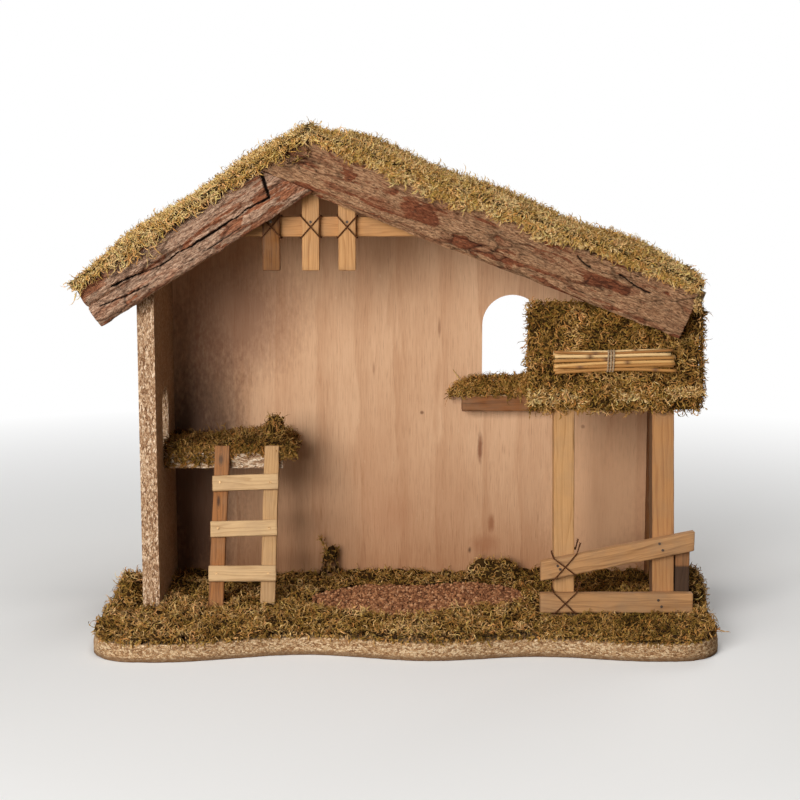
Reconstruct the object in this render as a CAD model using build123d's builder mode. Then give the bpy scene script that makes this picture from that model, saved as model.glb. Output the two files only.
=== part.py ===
"""Wooden nativity stable: a chipboard house with an open front, a back of plywood, bark slabs along the
gable, a ladder to a hay shelf on the left and a hay loft over a fenced pen on the right.

Millimetres, +X to the right, +Y to the back, +Z up. The origin lies under the base board."""

import os
from math import atan2, cos, dist, radians, sin, tan

from build123d import *

os.makedirs("parts", exist_ok=True)

# Stock that the whole stable is cut from
chipboard = 12.0
overrun = 40.0
seat_gap = 0.3

# Base board, with a waved front edge
base_left = -210.0
base_right = 218.0
base_back = 92.0
base_front = -93.0
front_wave = 16.0
base_corner = 31.0
base_back_corner = 17.0
front_wave_shares = ((0.0, 0.4), (0.16, 0.0), (0.345, 1.0), (0.53, 0.1),
                     (0.71, 0.7), (0.86, 0.05), (1.0, 0.5))

# Left wall and its small arched window
wall_left = -184.7
wall_front = -7.0
wall_window_y = 41.0
wall_window_width = 32.0
wall_window_sill = 122.5
wall_window_crown = 168.0

# Roof: two chipboard slopes behind bark slabs, all flush along the top
apex_x = -59.3
apex_z = 311.9
left_pitch = 32.4
right_pitch = 21.2
fascia_height = 33.0
fascia_thickness = 13.0
roof_front = -15.0
roof_left_end = -224.0
roof_right_end = 213.0
fascia_right_end = 206.5
right_bark_drop = 3.5
left_bark_shares = ((0.0, 0.62), (0.06, 0.84), (0.2, 0.97), (0.38, 1.0), (0.45, 0.93), (0.49, 0.66),
                    (0.53, 0.9), (0.7, 0.98), (0.88, 0.86), (1.0, 0.6))
right_bark_shares = ((0.0, 0.6), (0.05, 0.82), (0.16, 0.94), (0.24, 0.83), (0.36, 1.0), (0.52, 0.93),
                     (0.62, 0.99), (0.7, 0.84), (0.82, 0.95), (1.0, 0.62))

# Back panel of plywood with an arched window
panel_thickness = 4.0
panel_right = 201.5
panel_window_x = 85.5
panel_window_width = 45.7
panel_window_sill = 160.0
panel_window_crown = 231.3

# Gable: a tie bar under the roof and three slats in front of it
slat_setback = 4.0
slat_thickness = 5.0
slat_width = 12.2
slat_foot = 256.4
slat_lap = 12.0
slat_places = {"left": -89.6, "middle": -62.1, "right": -36.8}
tie_bar_thickness = 6.0
tie_bar_height = 13.8
tie_bar_bottom = 279.9

# Hay shelf on the left, a chipboard piece with a ladder leaning on it
shelf_right = -85.5
shelf_front = 28.0
shelf_bottom = 109.5
ladder_foot_y = -3.0
ladder_rise = 118.0
stile_width = 10.8
stile_thickness = 5.0
left_stile_foot_x = -132.6
left_stile_head_x = -129.4
right_stile_foot_x = -95.3
right_stile_head_x = -93.3
rung_height = 11.4
rung_thickness = 4.0
rung_overlap = 0.4
low_rung_step = 25.2
middle_rung_step = 57.6
high_rung_step = 90.8
low_rung_tilt = 0.3
middle_rung_tilt = 1.6
high_rung_tilt = 1.9

# Hay loft on the right: plywood floor and front board on two posts
loft_left = 93.0
loft_floor_left = 100.0
loft_right = 211.7
loft_front = -16.0
loft_floor_thickness = 5.0
loft_floor_bottom = 163.3
loft_board_thickness = 5.0
loft_board_y = -2.0
loft_board_right = 207.0
loft_board_bearing = 0.8
post_depth = 14.0
middle_post_x = 110.0
middle_post_width = 14.4
middle_post_lean = 2.0
right_post_x = 180.0
right_post_width = 15.6
right_post_lean = 3.2
batten_width = 12.0

# Fence rails across the front of the posts and a short stub behind their ends
rail_thickness = 7.0
rail_height = 14.0
rail_left = 99.5
rail_right = 207.9
lower_rail_bottom = 14.4
upper_rail_bottom = 37.4
upper_rail_rise = 22.0
stub_width = 10.0
stub_depth = 10.0
stub_top = 64.0

# Window sill lath under the back window
sill_left = 47.0
sill_right = 116.0
sill_depth = 14.0
sill_height = 12.3
sill_drop = 3.9

# Wire nails
nail_shank = 0.9
nail_head = 1.9
nail_head_height = 0.5
nail_length = 10.0
nail_fit = 0.2
rail_nail_shares = ((0.1, 0.4), (0.22, -0.2))

# Twine lashings and the thread round the straw
twine = 1.2
twine_fit = 0.4
twine_bend = 1.3
twine_cross_gap = 0.7
twine_end = 2.0
twine_tail = 8.0
thread = 1.0
thread_turns = 3
thread_pitch = 1.9
thread_fit = 0.3

# Straw bundle on the front of the loft
straw = 2.3
straw_length = 86.0
straw_pitch = 2.65
straw_row_pitch = 2.65
straws_per_row = 5
straw_tie_share = 0.46
straw_flare_shares = (1.14, 1.2)
straw_rise = 25.7
straw_slant = 2.7

# Moss and the patch of gravel
moss_height = 12.0
moss_edge = 4.0
moss_overhang = 2.5
left_moss_shares = (0.42, 0.8, 0.98, 0.84, 1.0, 0.9, 1.02)
right_moss_shares = (1.02, 0.92, 1.06, 0.96, 1.1, 0.94, 1.04, 0.86, 0.5)
moss_fringe = 20.0
left_fringe_shares = (0.22, 0.34, 0.26, 0.32, 0.28, 0.4, 0.5)
right_fringe_shares = (0.6, 0.85, 1.0, 0.8, 0.5, 0.55, 0.38, 0.3, 0.4)
ground_moss = 3.2
gravel_height = 4.0
gravel_x = 12.0
gravel_y = 10.0
gravel_half_length = 76.0
gravel_half_depth = 43.0
gravel_shares = ((1.0, 0.31), (0.83, 0.79), (0.38, 0.98), (0.02, 0.8), (-0.42, 0.86), (-0.72, 0.6), (-0.96, 0.18),
                 (-0.9, -0.38), (-0.6, -0.84), (-0.16, -0.99), (0.22, -0.82), (0.5, -0.5), (0.92, -0.28))
right_mound_x = 206.0
right_mound_y = 44.0
right_mound_half_width = 11.0
right_mound_half_depth = 34.0
right_mound_height = 14.0
left_mound_x = -197.0
left_mound_y = 18.0
left_mound_half_width = 10.0
left_mound_half_depth = 30.0
left_mound_height = 16.0
back_mound_x = 72.0
back_mound_y = 81.0
back_mound_half_width = 22.0
back_mound_half_depth = 8.5
back_mound_height = 12.0
tuft_x = -54.0
tuft_y = 84.0
tuft_half_width = 7.5
tuft_half_depth = 6.5
tuft_height = 22.0
mound_shares = ((1.0, 0.0), (0.82, 0.55), (0.42, 1.0))
shelf_moss_height = 5.5
shelf_moss_front = 30.5
shelf_moss_right = -75.5
shelf_tuft_x = -92.0
shelf_tuft_y = 41.0
shelf_tuft_half_width = 9.0
shelf_tuft_half_depth = 8.0
shelf_tuft_height = 24.0
loft_moss_depth = 11.5
loft_moss_lip = 4.0
loft_moss_hang = 4.0
loft_moss_crest = 2.0
loft_moss_side = 2.0
loft_moss_shares = (0.88, 0.97, 1.0, 0.95, 0.86)
sill_moss_height = 16.0
sill_moss_left = 38.0

# Values worked out from the sizes above
sin_left = sin(radians(left_pitch))
cos_left = cos(radians(left_pitch))
tan_left = tan(radians(left_pitch))
sin_right = sin(radians(right_pitch))
cos_right = cos(radians(right_pitch))
tan_right = tan(radians(right_pitch))
wall_right = wall_left + chipboard
panel_back = base_back + panel_thickness
fascia_front = roof_front - fascia_thickness
roof_under = fascia_height - chipboard
shelf_top = shelf_bottom + chipboard
loft_floor_top = loft_floor_bottom + loft_floor_thickness
slat_front = roof_front + slat_setback
slat_back = slat_front + slat_thickness
tie_bar_back = slat_back + tie_bar_thickness
tie_bar_top = tie_bar_bottom + tie_bar_height
post_back = loft_front + post_depth
rail_front = loft_front - rail_thickness
sill_top = panel_window_sill - sill_drop
sill_bottom = sill_top - sill_height
moss_top = chipboard + ground_moss
straw_tie_z = loft_floor_top + straw_rise
shelf_moss_top = shelf_top + shelf_moss_height


def left_line(x, rise):
    """Height of the left slope at x, a perpendicular rise above the lower edge of the bark."""
    return apex_z + (x - apex_x) * tan_left + rise / cos_left


def right_line(x, rise):
    """Height of the right slope at x, a perpendicular rise above the lower edge of the bark."""
    return apex_z - (x - apex_x) * tan_right + rise / cos_right


def crossing(left_rise, right_rise):
    """Point where the two slopes meet at these rises."""
    x = apex_x + (right_rise / cos_right - left_rise / cos_left) / (tan_left + tan_right)
    return (x, left_line(x, left_rise))


def left_drop(x, depth):
    """Point a perpendicular depth below the top of the left slope at x."""
    return (x + depth * sin_left, left_line(x, fascia_height) - depth * cos_left)


def right_drop(x, depth):
    """Point a perpendicular depth below the top of the right slope at x."""
    return (x - depth * sin_right, right_line(x, fascia_height) - depth * cos_right)


def left_under_x(z):
    """Where the underside of the left roof board stands at height z."""
    return apex_x + (z - apex_z - roof_under / cos_left) / tan_left


def right_under_x(z):
    """Where the underside of the right roof board stands at height z."""
    return apex_x - (z - apex_z - roof_under / cos_right) / tan_right


def facing(y):
    """Upright plane at depth y, seen from the front; extrusions come forward."""
    return Plane.XZ.offset(-y)


def arch(center, width, sill, crown):
    """Outline of a window with a half-round head."""
    half = width / 2
    spring = crown - half
    Polyline((center - half, spring), (center - half, sill), (center + half, sill), (center + half, spring))
    ThreePointArc((center + half, spring), (center, crown), (center - half, spring))


def least_gap(points, radius, apart):
    """Least clear distance of a wound tube to itself, between points more than a length apart along it."""
    steps = [dist(a, b) for a, b in zip(points, points[1:])]
    run = [0.0]
    for step in steps:
        run.append(run[-1] + step)
    best = None
    for i, a in enumerate(points):
        for j in range(i + 1, len(points)):
            if run[j] - run[i] > apart:
                gap = dist(a, points[j]) - 2 * radius
                best = gap if best is None else min(best, gap)
    return best


ridge_x, ridge_z = crossing(fascia_height, fascia_height)
lap_x, lap_z = crossing(fascia_height, 0)
base_width = base_right - base_left

# Nail places, each on the face that the head rests on
rail_slope = upper_rail_rise / (rail_right - rail_left)
right_post_center = right_post_x + right_post_width / 2
middle_post_center = middle_post_x + middle_post_width / 2
nail_step = rail_height / 3
stub_x = right_post_x + right_post_width + seat_gap + stub_width / 2


def rail_middle(x):
    """Mid height of the slanted rail at x."""
    return upper_rail_bottom + (x - rail_left) * rail_slope + rail_height / 2


lower_rail_middle = lower_rail_bottom + rail_height / 2
post_nail_places = []
for middle in (lower_rail_middle, rail_middle(right_post_center)):
    post_nail_places.append((right_post_center - nail_step, middle + nail_step / 2))
    post_nail_places.append((right_post_center - nail_step / 2, middle - nail_step / 2))
rail_nail_places = []
for along_share, up_share in rail_nail_shares:
    rail_nail_x = middle_post_x + along_share * middle_post_width
    rail_nail_places.append((rail_nail_x, rail_middle(rail_nail_x) + up_share * nail_step))
slat_nail_z = tie_bar_top - tie_bar_height / 4


def front_nails(places, y):
    """Planes of nails driven from the front at depth y."""
    return [Plane((x, y, z), x_dir=(1, 0, 0), z_dir=(0, -1, 0)) for x, z in places]


post_nail_planes = front_nails(post_nail_places, rail_front)
rail_nail_planes = front_nails(rail_nail_places, rail_front)
slat_nail_planes = {place: front_nails([(x, slat_nail_z)], slat_front) for place, x in slat_places.items()}
all_slat_nail_planes = [plane for planes in slat_nail_planes.values() for plane in planes]
hole_radius = nail_shank / 2 + nail_fit
INWARD = (Align.CENTER, Align.CENTER, Align.MAX)
OUTWARD = (Align.CENTER, Align.CENTER, Align.MIN)


def drill(planes):
    """Nail holes, cut from the part being built."""
    for plane in planes:
        with Locations(plane):
            Cylinder(hole_radius, nail_length + nail_fit, align=INWARD, mode=Mode.SUBTRACT)


def drive(planes):
    """Nails: a flat head on the face and a shank into the wood."""
    for plane in planes:
        with Locations(plane):
            Cylinder(nail_head / 2, nail_head_height, align=OUTWARD)
            Cylinder(nail_shank / 2, nail_length, align=INWARD)


# Base board with its waved front
with BuildPart() as base_board:
    with BuildSketch() as base_outline:
        with BuildLine():
            front_points = []
            for along, inward in front_wave_shares:
                front_points.append((base_left + along * base_width, base_front + inward * front_wave))
            Spline(*front_points)
            Polyline(front_points[-1], (base_right, base_back), (base_left, base_back), front_points[0])
        make_face()
        back_corners = base_outline.vertices().group_by(Axis.Y)[-1]
        front_corners = base_outline.vertices() - back_corners
        fillet(front_corners, base_corner)
        fillet(base_outline.vertices().group_by(Axis.Y)[-1], base_back_corner)
    extrude(amount=chipboard)
base_board.part.label = "base_board"
export_step(base_board.part, "parts/base_board.step")

# Left wall, cut to the roof slope along its top
with BuildPart() as left_wall:
    with BuildSketch(facing(base_back)):
        with BuildLine():
            Polyline(
                (wall_left, chipboard),
                (wall_right, chipboard),
                (wall_right, left_line(wall_right, roof_under)),
                (wall_left, left_line(wall_left, roof_under)),
                close=True,
            )
        make_face()
    extrude(amount=base_back - wall_front)
    with BuildSketch(Plane.YZ.offset(wall_left - overrun)):
        with BuildLine():
            arch(wall_window_y, wall_window_width, wall_window_sill, wall_window_crown)
        make_face()
    extrude(amount=chipboard + 2 * overrun, mode=Mode.SUBTRACT)
left_wall.part.label = "left_wall"
export_step(left_wall.part, "parts/left_wall.step")

# Back panel, nailed behind the base, the wall and the roof
with BuildPart() as back_panel:
    with BuildSketch(facing(panel_back)):
        with BuildLine():
            Polyline(
                (wall_left, 0),
                (panel_right, 0),
                (panel_right, right_line(panel_right, fascia_height)),
                (ridge_x, ridge_z),
                (wall_left, left_line(wall_left, fascia_height)),
                close=True,
            )
        make_face()
        with BuildLine():
            arch(panel_window_x, panel_window_width, panel_window_sill, panel_window_crown)
        make_face(mode=Mode.SUBTRACT)
    extrude(amount=panel_thickness)
back_panel.part.label = "back_panel"
export_step(back_panel.part, "parts/back_panel.step")

# Roof boards, mitred on the upright plane through the ridge
with BuildPart() as left_roof_board:
    with BuildSketch(facing(base_back)):
        with BuildLine():
            Polyline(
                (ridge_x, ridge_z),
                (ridge_x, left_line(ridge_x, roof_under)),
                left_drop(roof_left_end, chipboard),
                left_drop(roof_left_end, 0),
                close=True,
            )
        make_face()
    extrude(amount=base_back - roof_front)
left_roof_board.part.label = "left_roof_board"
export_step(left_roof_board.part, "parts/left_roof_board.step")

with BuildPart() as right_roof_board:
    with BuildSketch(facing(base_back)):
        with BuildLine():
            Polyline(
                (ridge_x, ridge_z),
                (ridge_x, right_line(ridge_x, roof_under)),
                right_drop(roof_right_end, chipboard),
                right_drop(roof_right_end, 0),
                close=True,
            )
        make_face()
    extrude(amount=base_back - roof_front)
right_roof_board.part.label = "right_roof_board"
export_step(right_roof_board.part, "parts/right_roof_board.step")


# Bark slabs: a furrowed section run along the slope and cut to the gable
def bark_section(shares, drop):
    """Section of a bark slab: flat back, furrowed front; drop is how far it reaches below the gable line."""
    tall = fascia_height + drop
    front = [(up * tall - drop, out * fascia_thickness) for up, out in shares]
    Spline(*front)
    Polyline(front[-1], (fascia_height, 0), (-drop, 0), front[0])


left_foot = left_drop(roof_left_end, fascia_height)
right_foot = right_drop(fascia_right_end, fascia_height)
right_low_foot = right_drop(fascia_right_end, fascia_height + right_bark_drop)
low_slope = (lap_z - right_low_foot[1]) / (right_low_foot[0] - lap_x)
slab_joint_x = lap_x + (lap_z - left_line(lap_x, 0)) / (tan_left + low_slope)
slab_joint_z = left_line(slab_joint_x, 0)
left_run = (apex_x - left_foot[0]) / cos_left
right_run = (right_foot[0] - lap_x) / cos_right

with BuildPart() as left_bark:
    left_corner = (left_foot[0], roof_front, left_foot[1])
    with BuildSketch(Plane(left_corner, x_dir=(-sin_left, 0, cos_left), z_dir=(cos_left, 0, sin_left))):
        with BuildLine():
            bark_section(left_bark_shares, 0)
        make_face()
    extrude(amount=left_run + overrun)
    with BuildSketch(facing(roof_front)):
        with BuildLine():
            left_head = left_drop(roof_left_end, 0)
            Polyline(left_foot, (slab_joint_x, slab_joint_z), (lap_x, lap_z), left_head, close=True)
        make_face()
    extrude(amount=fascia_thickness + overrun, mode=Mode.INTERSECT)
left_bark.part.label = "left_bark_slab"
export_step(left_bark.part, "parts/left_bark_slab.step")

with BuildPart() as right_bark:
    right_corner = (right_foot[0], roof_front, right_foot[1])
    with BuildSketch(Plane(right_corner, x_dir=(sin_right, 0, cos_right), z_dir=(-cos_right, 0, sin_right))):
        with BuildLine():
            bark_section([(up, -out) for up, out in right_bark_shares], right_bark_drop)
        make_face()
    extrude(amount=right_run + overrun)
    with BuildSketch(facing(roof_front)):
        with BuildLine():
            right_head = right_drop(fascia_right_end, 0)
            Polyline(right_low_foot, (lap_x, lap_z), (ridge_x, ridge_z), right_head, close=True)
        make_face()
    extrude(amount=fascia_thickness + overrun, mode=Mode.INTERSECT)
right_bark.part.label = "right_bark_slab"
export_step(right_bark.part, "parts/right_bark_slab.step")

# Tie bar, its ends cut to lie under both slopes
with BuildPart() as tie_bar:
    with BuildSketch(facing(tie_bar_back)):
        with BuildLine():
            Polyline(
                (left_under_x(tie_bar_bottom), tie_bar_bottom),
                (right_under_x(tie_bar_bottom), tie_bar_bottom),
                (right_under_x(tie_bar_top), tie_bar_top),
                (left_under_x(tie_bar_top), tie_bar_top),
                close=True,
            )
        make_face()
    extrude(amount=tie_bar_thickness)
    drill(all_slat_nail_planes)
tie_bar.part.label = "gable_tie_bar"
export_step(tie_bar.part, "parts/gable_tie_bar.step")

# Three gable slats, lapped behind the bark
for place, x in slat_places.items():
    head = max(min(left_line(x, 0), right_line(x, 0)), tie_bar_top) + slat_lap
    with BuildPart() as slat:
        with BuildSketch(facing(slat_back)):
            with Locations((x, (slat_foot + head) / 2)):
                Rectangle(slat_width, head - slat_foot)
        extrude(amount=slat_thickness)
        drill(slat_nail_planes[place])
    slat.part.label = "gable_slat_" + place
    export_step(slat.part, "parts/gable_slat_" + place + ".step")

# Hay shelf
with BuildPart() as hay_shelf:
    with BuildSketch(Plane.XY.offset(shelf_bottom)):
        with Locations(((wall_right + shelf_right) / 2, (shelf_front + base_back) / 2)):
            Rectangle(shelf_right - wall_right, base_back - shelf_front)
    extrude(amount=chipboard)
hay_shelf.part.label = "hay_shelf"
export_step(hay_shelf.part, "parts/hay_shelf.step")

# Ladder, drawn in its leaning plane; its back leans on the front edge of the shelf
ladder_reach = shelf_front - seat_gap - ladder_foot_y
ladder_lean = atan2(ladder_reach, shelf_top - chipboard)
ladder_up = (0, sin(ladder_lean), cos(ladder_lean))
ladder_out = (0, -cos(ladder_lean), sin(ladder_lean))
ladder_back = Plane((0, ladder_foot_y, chipboard), x_dir=(1, 0, 0), z_dir=ladder_out)
ladder_front = ladder_back.offset(stile_thickness)
rung_front = ladder_front.offset(rung_thickness)


rungs = (
    (low_rung_step, low_rung_tilt),
    (middle_rung_step, middle_rung_tilt),
    (high_rung_step, high_rung_tilt),
)


def stile_center(foot_x, head_x, step):
    """Middle of a stile at a step up the ladder."""
    return foot_x + (head_x - foot_x) * step / ladder_rise


def stile_nails(foot_x, head_x):
    """Nails through the rungs into one stile."""
    planes = []
    for step, tilt in rungs:
        place = rung_front.from_local_coords((stile_center(foot_x, head_x, step), step))
        planes.append(Plane(place, x_dir=(1, 0, 0), z_dir=ladder_out))
    return planes


stiles = {"left": (left_stile_foot_x, left_stile_head_x), "right": (right_stile_foot_x, right_stile_head_x)}
stile_nail_planes = {side: stile_nails(*ends) for side, ends in stiles.items()}
for side, (foot_x, head_x) in stiles.items():
    half = stile_width / 2
    below = -stile_width
    below_x = stile_center(foot_x, head_x, below)
    with BuildPart() as stile:
        with BuildSketch(ladder_back):
            with BuildLine():
                Polyline(
                    (below_x - half, below),
                    (below_x + half, below),
                    (head_x + half, ladder_rise),
                    (head_x - half, ladder_rise),
                    close=True,
                )
            make_face()
        extrude(amount=stile_thickness)
        split(bisect_by=Plane.XY.offset(chipboard), keep=Keep.TOP)
        drill(stile_nail_planes[side])
    stile.part.label = "ladder_stile_" + side
    export_step(stile.part, "parts/ladder_stile_" + side + ".step")
    with BuildPart() as stile_nail_set:
        drive(stile_nail_planes[side])
    stile_nail_set.part.label = "ladder_nails_" + side
    export_step(stile_nail_set.part, "parts/ladder_nails_" + side + ".step")

for number, (step, tilt) in enumerate(rungs, start=1):
    rung_left = stile_center(*stiles["left"], step) - stile_width / 2 - rung_overlap
    rung_right = stile_center(*stiles["right"], step) + stile_width / 2 + rung_overlap
    with BuildPart() as rung:
        with BuildSketch(ladder_front):
            with Locations(((rung_left + rung_right) / 2, step)):
                Rectangle(rung_right - rung_left, rung_height, rotation=tilt)
        extrude(amount=rung_thickness)
        for planes in stile_nail_planes.values():
            drill([planes[number - 1]])
    rung.part.label = "ladder_rung_" + str(number)
    export_step(rung.part, "parts/ladder_rung_" + str(number) + ".step")

# Loft floor and the front board that carries the end of the roof
with BuildPart() as loft_floor:
    with BuildSketch(Plane.XY.offset(loft_floor_bottom)):
        with Locations(((loft_floor_left + loft_right) / 2, (loft_front + base_back) / 2)):
            Rectangle(loft_right - loft_floor_left, base_back - loft_front)
    extrude(amount=loft_floor_thickness)
loft_floor.part.label = "loft_floor"
export_step(loft_floor.part, "parts/loft_floor.step")

loft_bearing_z = right_line(loft_board_right, roof_under)
loft_board_top = loft_bearing_z + loft_board_bearing
loft_bearing_x = loft_board_right - loft_board_bearing / tan_right
with BuildPart() as loft_board:
    with BuildSketch(facing(loft_board_y + loft_board_thickness)):
        with BuildLine():
            Polyline(
                (loft_left, loft_floor_top),
                (loft_board_right, loft_floor_top),
                (loft_board_right, loft_bearing_z),
                (loft_bearing_x, loft_board_top),
                (loft_left, loft_board_top),
                close=True,
            )
        make_face()
    extrude(amount=loft_board_thickness)
loft_board.part.label = "loft_front_board"
export_step(loft_board.part, "parts/loft_front_board.step")


# Posts under the loft, a little out of plumb
def post_outline(x, width, lean):
    """Leaning post from the base to the loft floor."""
    Polyline(
        (x, chipboard),
        (x + width, chipboard),
        (x + width - lean, loft_floor_bottom),
        (x - lean, loft_floor_bottom),
        close=True,
    )


posts = {
    "middle": (middle_post_x, middle_post_width, middle_post_lean),
    "right": (right_post_x, right_post_width, right_post_lean),
}
for place, sizes in posts.items():
    with BuildPart() as post:
        with BuildSketch(facing(post_back)):
            with BuildLine():
                post_outline(*sizes)
            make_face()
        extrude(amount=post_depth)
        drill(post_nail_planes if place == "right" else rail_nail_planes)
    post.part.label = place + "_post"
    export_step(post.part, "parts/" + place + "_post.step")

# Batten in the back corner of the pen
with BuildPart() as corner_batten:
    with BuildSketch(Plane.XY.offset(chipboard)):
        with Locations((panel_right - batten_width / 2, base_back - batten_width / 2)):
            Rectangle(batten_width, batten_width)
    extrude(amount=loft_floor_bottom - chipboard)
corner_batten.part.label = "corner_batten"
export_step(corner_batten.part, "parts/corner_batten.step")

# Fence rails
rails = {"lower": (lower_rail_bottom, 0), "upper": (upper_rail_bottom, upper_rail_rise)}
rail_nails = {"lower": post_nail_planes[:2], "upper": post_nail_planes[2:] + rail_nail_planes}
for place, (bottom, rise) in rails.items():
    with BuildPart() as rail:
        with BuildSketch(facing(loft_front)):
            with BuildLine():
                Polyline(
                    (rail_left, bottom),
                    (rail_right, bottom + rise),
                    (rail_right, bottom + rise + rail_height),
                    (rail_left, bottom + rail_height),
                    close=True,
                )
            make_face()
        extrude(amount=rail_thickness)
        drill(rail_nails[place])
    rail.part.label = place + "_fence_rail"
    export_step(rail.part, "parts/" + place + "_fence_rail.step")

with BuildPart() as fence_stub:
    with BuildSketch(Plane.XY.offset(chipboard)):
        with Locations((stub_x, loft_front + stub_depth / 2)):
            Rectangle(stub_width, stub_depth)
    extrude(amount=stub_top - chipboard)
fence_stub.part.label = "fence_stub"
export_step(fence_stub.part, "parts/fence_stub.step")

with BuildPart() as window_sill:
    with BuildSketch(Plane.XY.offset(sill_bottom)):
        with Locations(((sill_left + sill_right) / 2, base_back - sill_depth / 2)):
            Rectangle(sill_right - sill_left, sill_depth)
    extrude(amount=sill_height)
window_sill.part.label = "window_sill"
export_step(window_sill.part, "parts/window_sill.step")

# Nails that show on the front
front_nail_sets = {
    "fence_nails": post_nail_planes,
    "rail_nails": rail_nail_planes,
    "slat_nails": all_slat_nail_planes,
}
for name, planes in front_nail_sets.items():
    with BuildPart() as nails:
        drive(planes)
    nails.part.label = name
    export_step(nails.part, "parts/" + name + ".step")


# Twine lashings: one length of twine each, crossed over the front and led round the back
def wound(points, bend):
    """Rounded path through the points of a winding."""
    return FilletPolyline(*points, radius=bend)


def slat_lashing(x):
    """Route round a slat and the bar behind it: crossed in front, upright behind."""
    out = twine / 2 + twine_fit
    side = slat_width / 2 + out
    low, high = tie_bar_bottom - out, tie_bar_top + out
    middle = (low + high) / 2
    back = tie_bar_back + out
    under = slat_front - out
    over = under - twine - twine_cross_gap
    return [
        (x - side, back, middle - twine_end),
        (x - side, back, low),
        (x - side, under, low),
        (x + side, under, high),
        (x + side, back, high),
        (x + side, back, low),
        (x + side, over, low),
        (x - side, over, high),
        (x - side, back, high),
        (x - side, back, middle + twine_end),
    ]


def post_lashing(bottom, slope):
    """Route round a rail and the post behind it: crossed in front, level behind, with two loose ends."""
    out = twine / 2 + twine_fit
    middle = bottom + rail_height / 2
    lean = middle_post_lean * (middle - chipboard) / (loft_floor_bottom - chipboard)
    left = middle_post_x - lean - out - twine_fit
    right = middle_post_x + middle_post_width - lean + out + twine_fit
    tilt = slope * (right - left) / 2
    low, high = bottom - out - twine_fit, bottom + rail_height + out + twine_fit
    back = post_back + out
    under = rail_front - out
    over = under - twine - twine_cross_gap
    beside = loft_front + post_depth / 4
    return [
        (right + twine_end, under, high + tilt + twine_tail),
        (right, under, high + tilt),
        (left, under, low - tilt),
        (left, back, low - tilt),
        (right, back, low + tilt),
        (right, over, low + tilt),
        (left, over, high - tilt),
        (left, back, high - tilt),
        (right, back, high + tilt),
        (right, beside, high + tilt),
        (right + twine_end, beside, high + tilt + twine_tail),
    ]


lashings = {"slat_lashing_" + place: slat_lashing(x) for place, x in slat_places.items()}
middle_post_rail = upper_rail_bottom + (middle_post_center - rail_left) * rail_slope
lashings["upper_rail_lashing"] = post_lashing(middle_post_rail, rail_slope)
lashings["lower_rail_lashing"] = post_lashing(lower_rail_bottom, 0)
for name, route in lashings.items():
    with BuildPart() as lashing:
        with BuildLine() as path:
            wound(route, twine_bend)
        with BuildSketch(Plane(path.wire() @ 0, z_dir=path.wire() % 0)):
            Circle(twine / 2)
        sweep(path=path.wire())
    samples = [tuple(path.wire() @ (step / 400)) for step in range(401)]
    gap = least_gap(samples, twine / 2, 4 * twine)
    print(name, "length", round(path.wire().length, 1), "least gap", round(gap, 2))
    lashing.part.label = name
    export_step(lashing.part, "parts/" + name + ".step")

# Straw bundle: two rows of stems, drawn together at the tie and flared at the ends
straw_left = (loft_left + loft_board_right - straw_length) / 2
straw_right = straw_left + straw_length
tie_x = straw_left + straw_length * straw_tie_share
tie_out = straw_row_pitch / 2 + straw / 2 + thread + 2 * thread_fit
straw_left_z = straw_tie_z - straw_slant * straw_tie_share
straw_right_z = straw_left_z + straw_slant
straw_y = loft_board_y - loft_moss_depth - seat_gap - tie_out
with BuildPart() as straw_bundle:
    for row, flare in enumerate(straw_flare_shares):
        y = straw_y + (row - (len(straw_flare_shares) - 1) / 2) * straw_row_pitch
        for number in range(straws_per_row):
            lift = (number - (straws_per_row - 1) / 2) * straw_pitch
            with BuildLine() as stem:
                Spline(
                    (straw_left, y, straw_left_z + lift * flare),
                    (tie_x, y, straw_tie_z + lift),
                    (straw_right, y, straw_right_z + lift * flare),
                )
            with BuildSketch(Plane(stem.wire() @ 0, z_dir=stem.wire() % 0)):
                RegularPolygon(straw / 2, side_count=8)
            sweep(path=stem.wire())
straw_bundle.part.label = "straw_bundle"
export_step(straw_bundle.part, "parts/straw_bundle.step")

# Thread wound round the straw
thread_half_height = (straws_per_row - 1) / 2 * straw_pitch + straw / 2 + thread / 2 + thread_fit
thread_half_depth = straw_row_pitch / 2 + straw / 2 + thread / 2 + thread_fit
corners = ((1, 1), (1, -1), (-1, -1), (-1, 1))
thread_route = []
for quarter in range(4 * thread_turns + 1):
    y_side, z_side = corners[quarter % 4]
    thread_route.append(
        (
            tie_x + (quarter / 4 - thread_turns / 2) * thread_pitch,
            straw_y + y_side * thread_half_depth,
            straw_tie_z + z_side * thread_half_height,
        )
    )
with BuildPart() as straw_tie:
    with BuildLine() as thread_path:
        wound(thread_route, twine_bend)
    with BuildSketch(Plane(thread_path.wire() @ 0, z_dir=thread_path.wire() % 0)):
        Circle(thread / 2)
    sweep(path=thread_path.wire())
samples = [tuple(thread_path.wire() @ (step / 500)) for step in range(501)]
gap = least_gap(samples, thread / 2, 4 * thread)
print("straw_tie length", round(thread_path.wire().length, 1), "least gap", round(gap, 2))
straw_tie.part.label = "straw_tie"
export_step(straw_tie.part, "parts/straw_tie.step")


# Roof moss: a lumpy mat on each slope, meeting over the ridge
def moss_section(height, hang):
    """Section of the mat across the roof: flat below, crowned above, with a fringe over the bark."""
    inner = fascia_front - seat_gap
    front = inner - moss_edge
    back = panel_back + moss_overhang
    Polyline((front, moss_edge), (front, -hang), (inner, -hang), (inner, 0), (back, 0), (back, moss_edge))
    ThreePointArc((back, moss_edge), ((front + back) / 2, height), (front, moss_edge))


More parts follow.
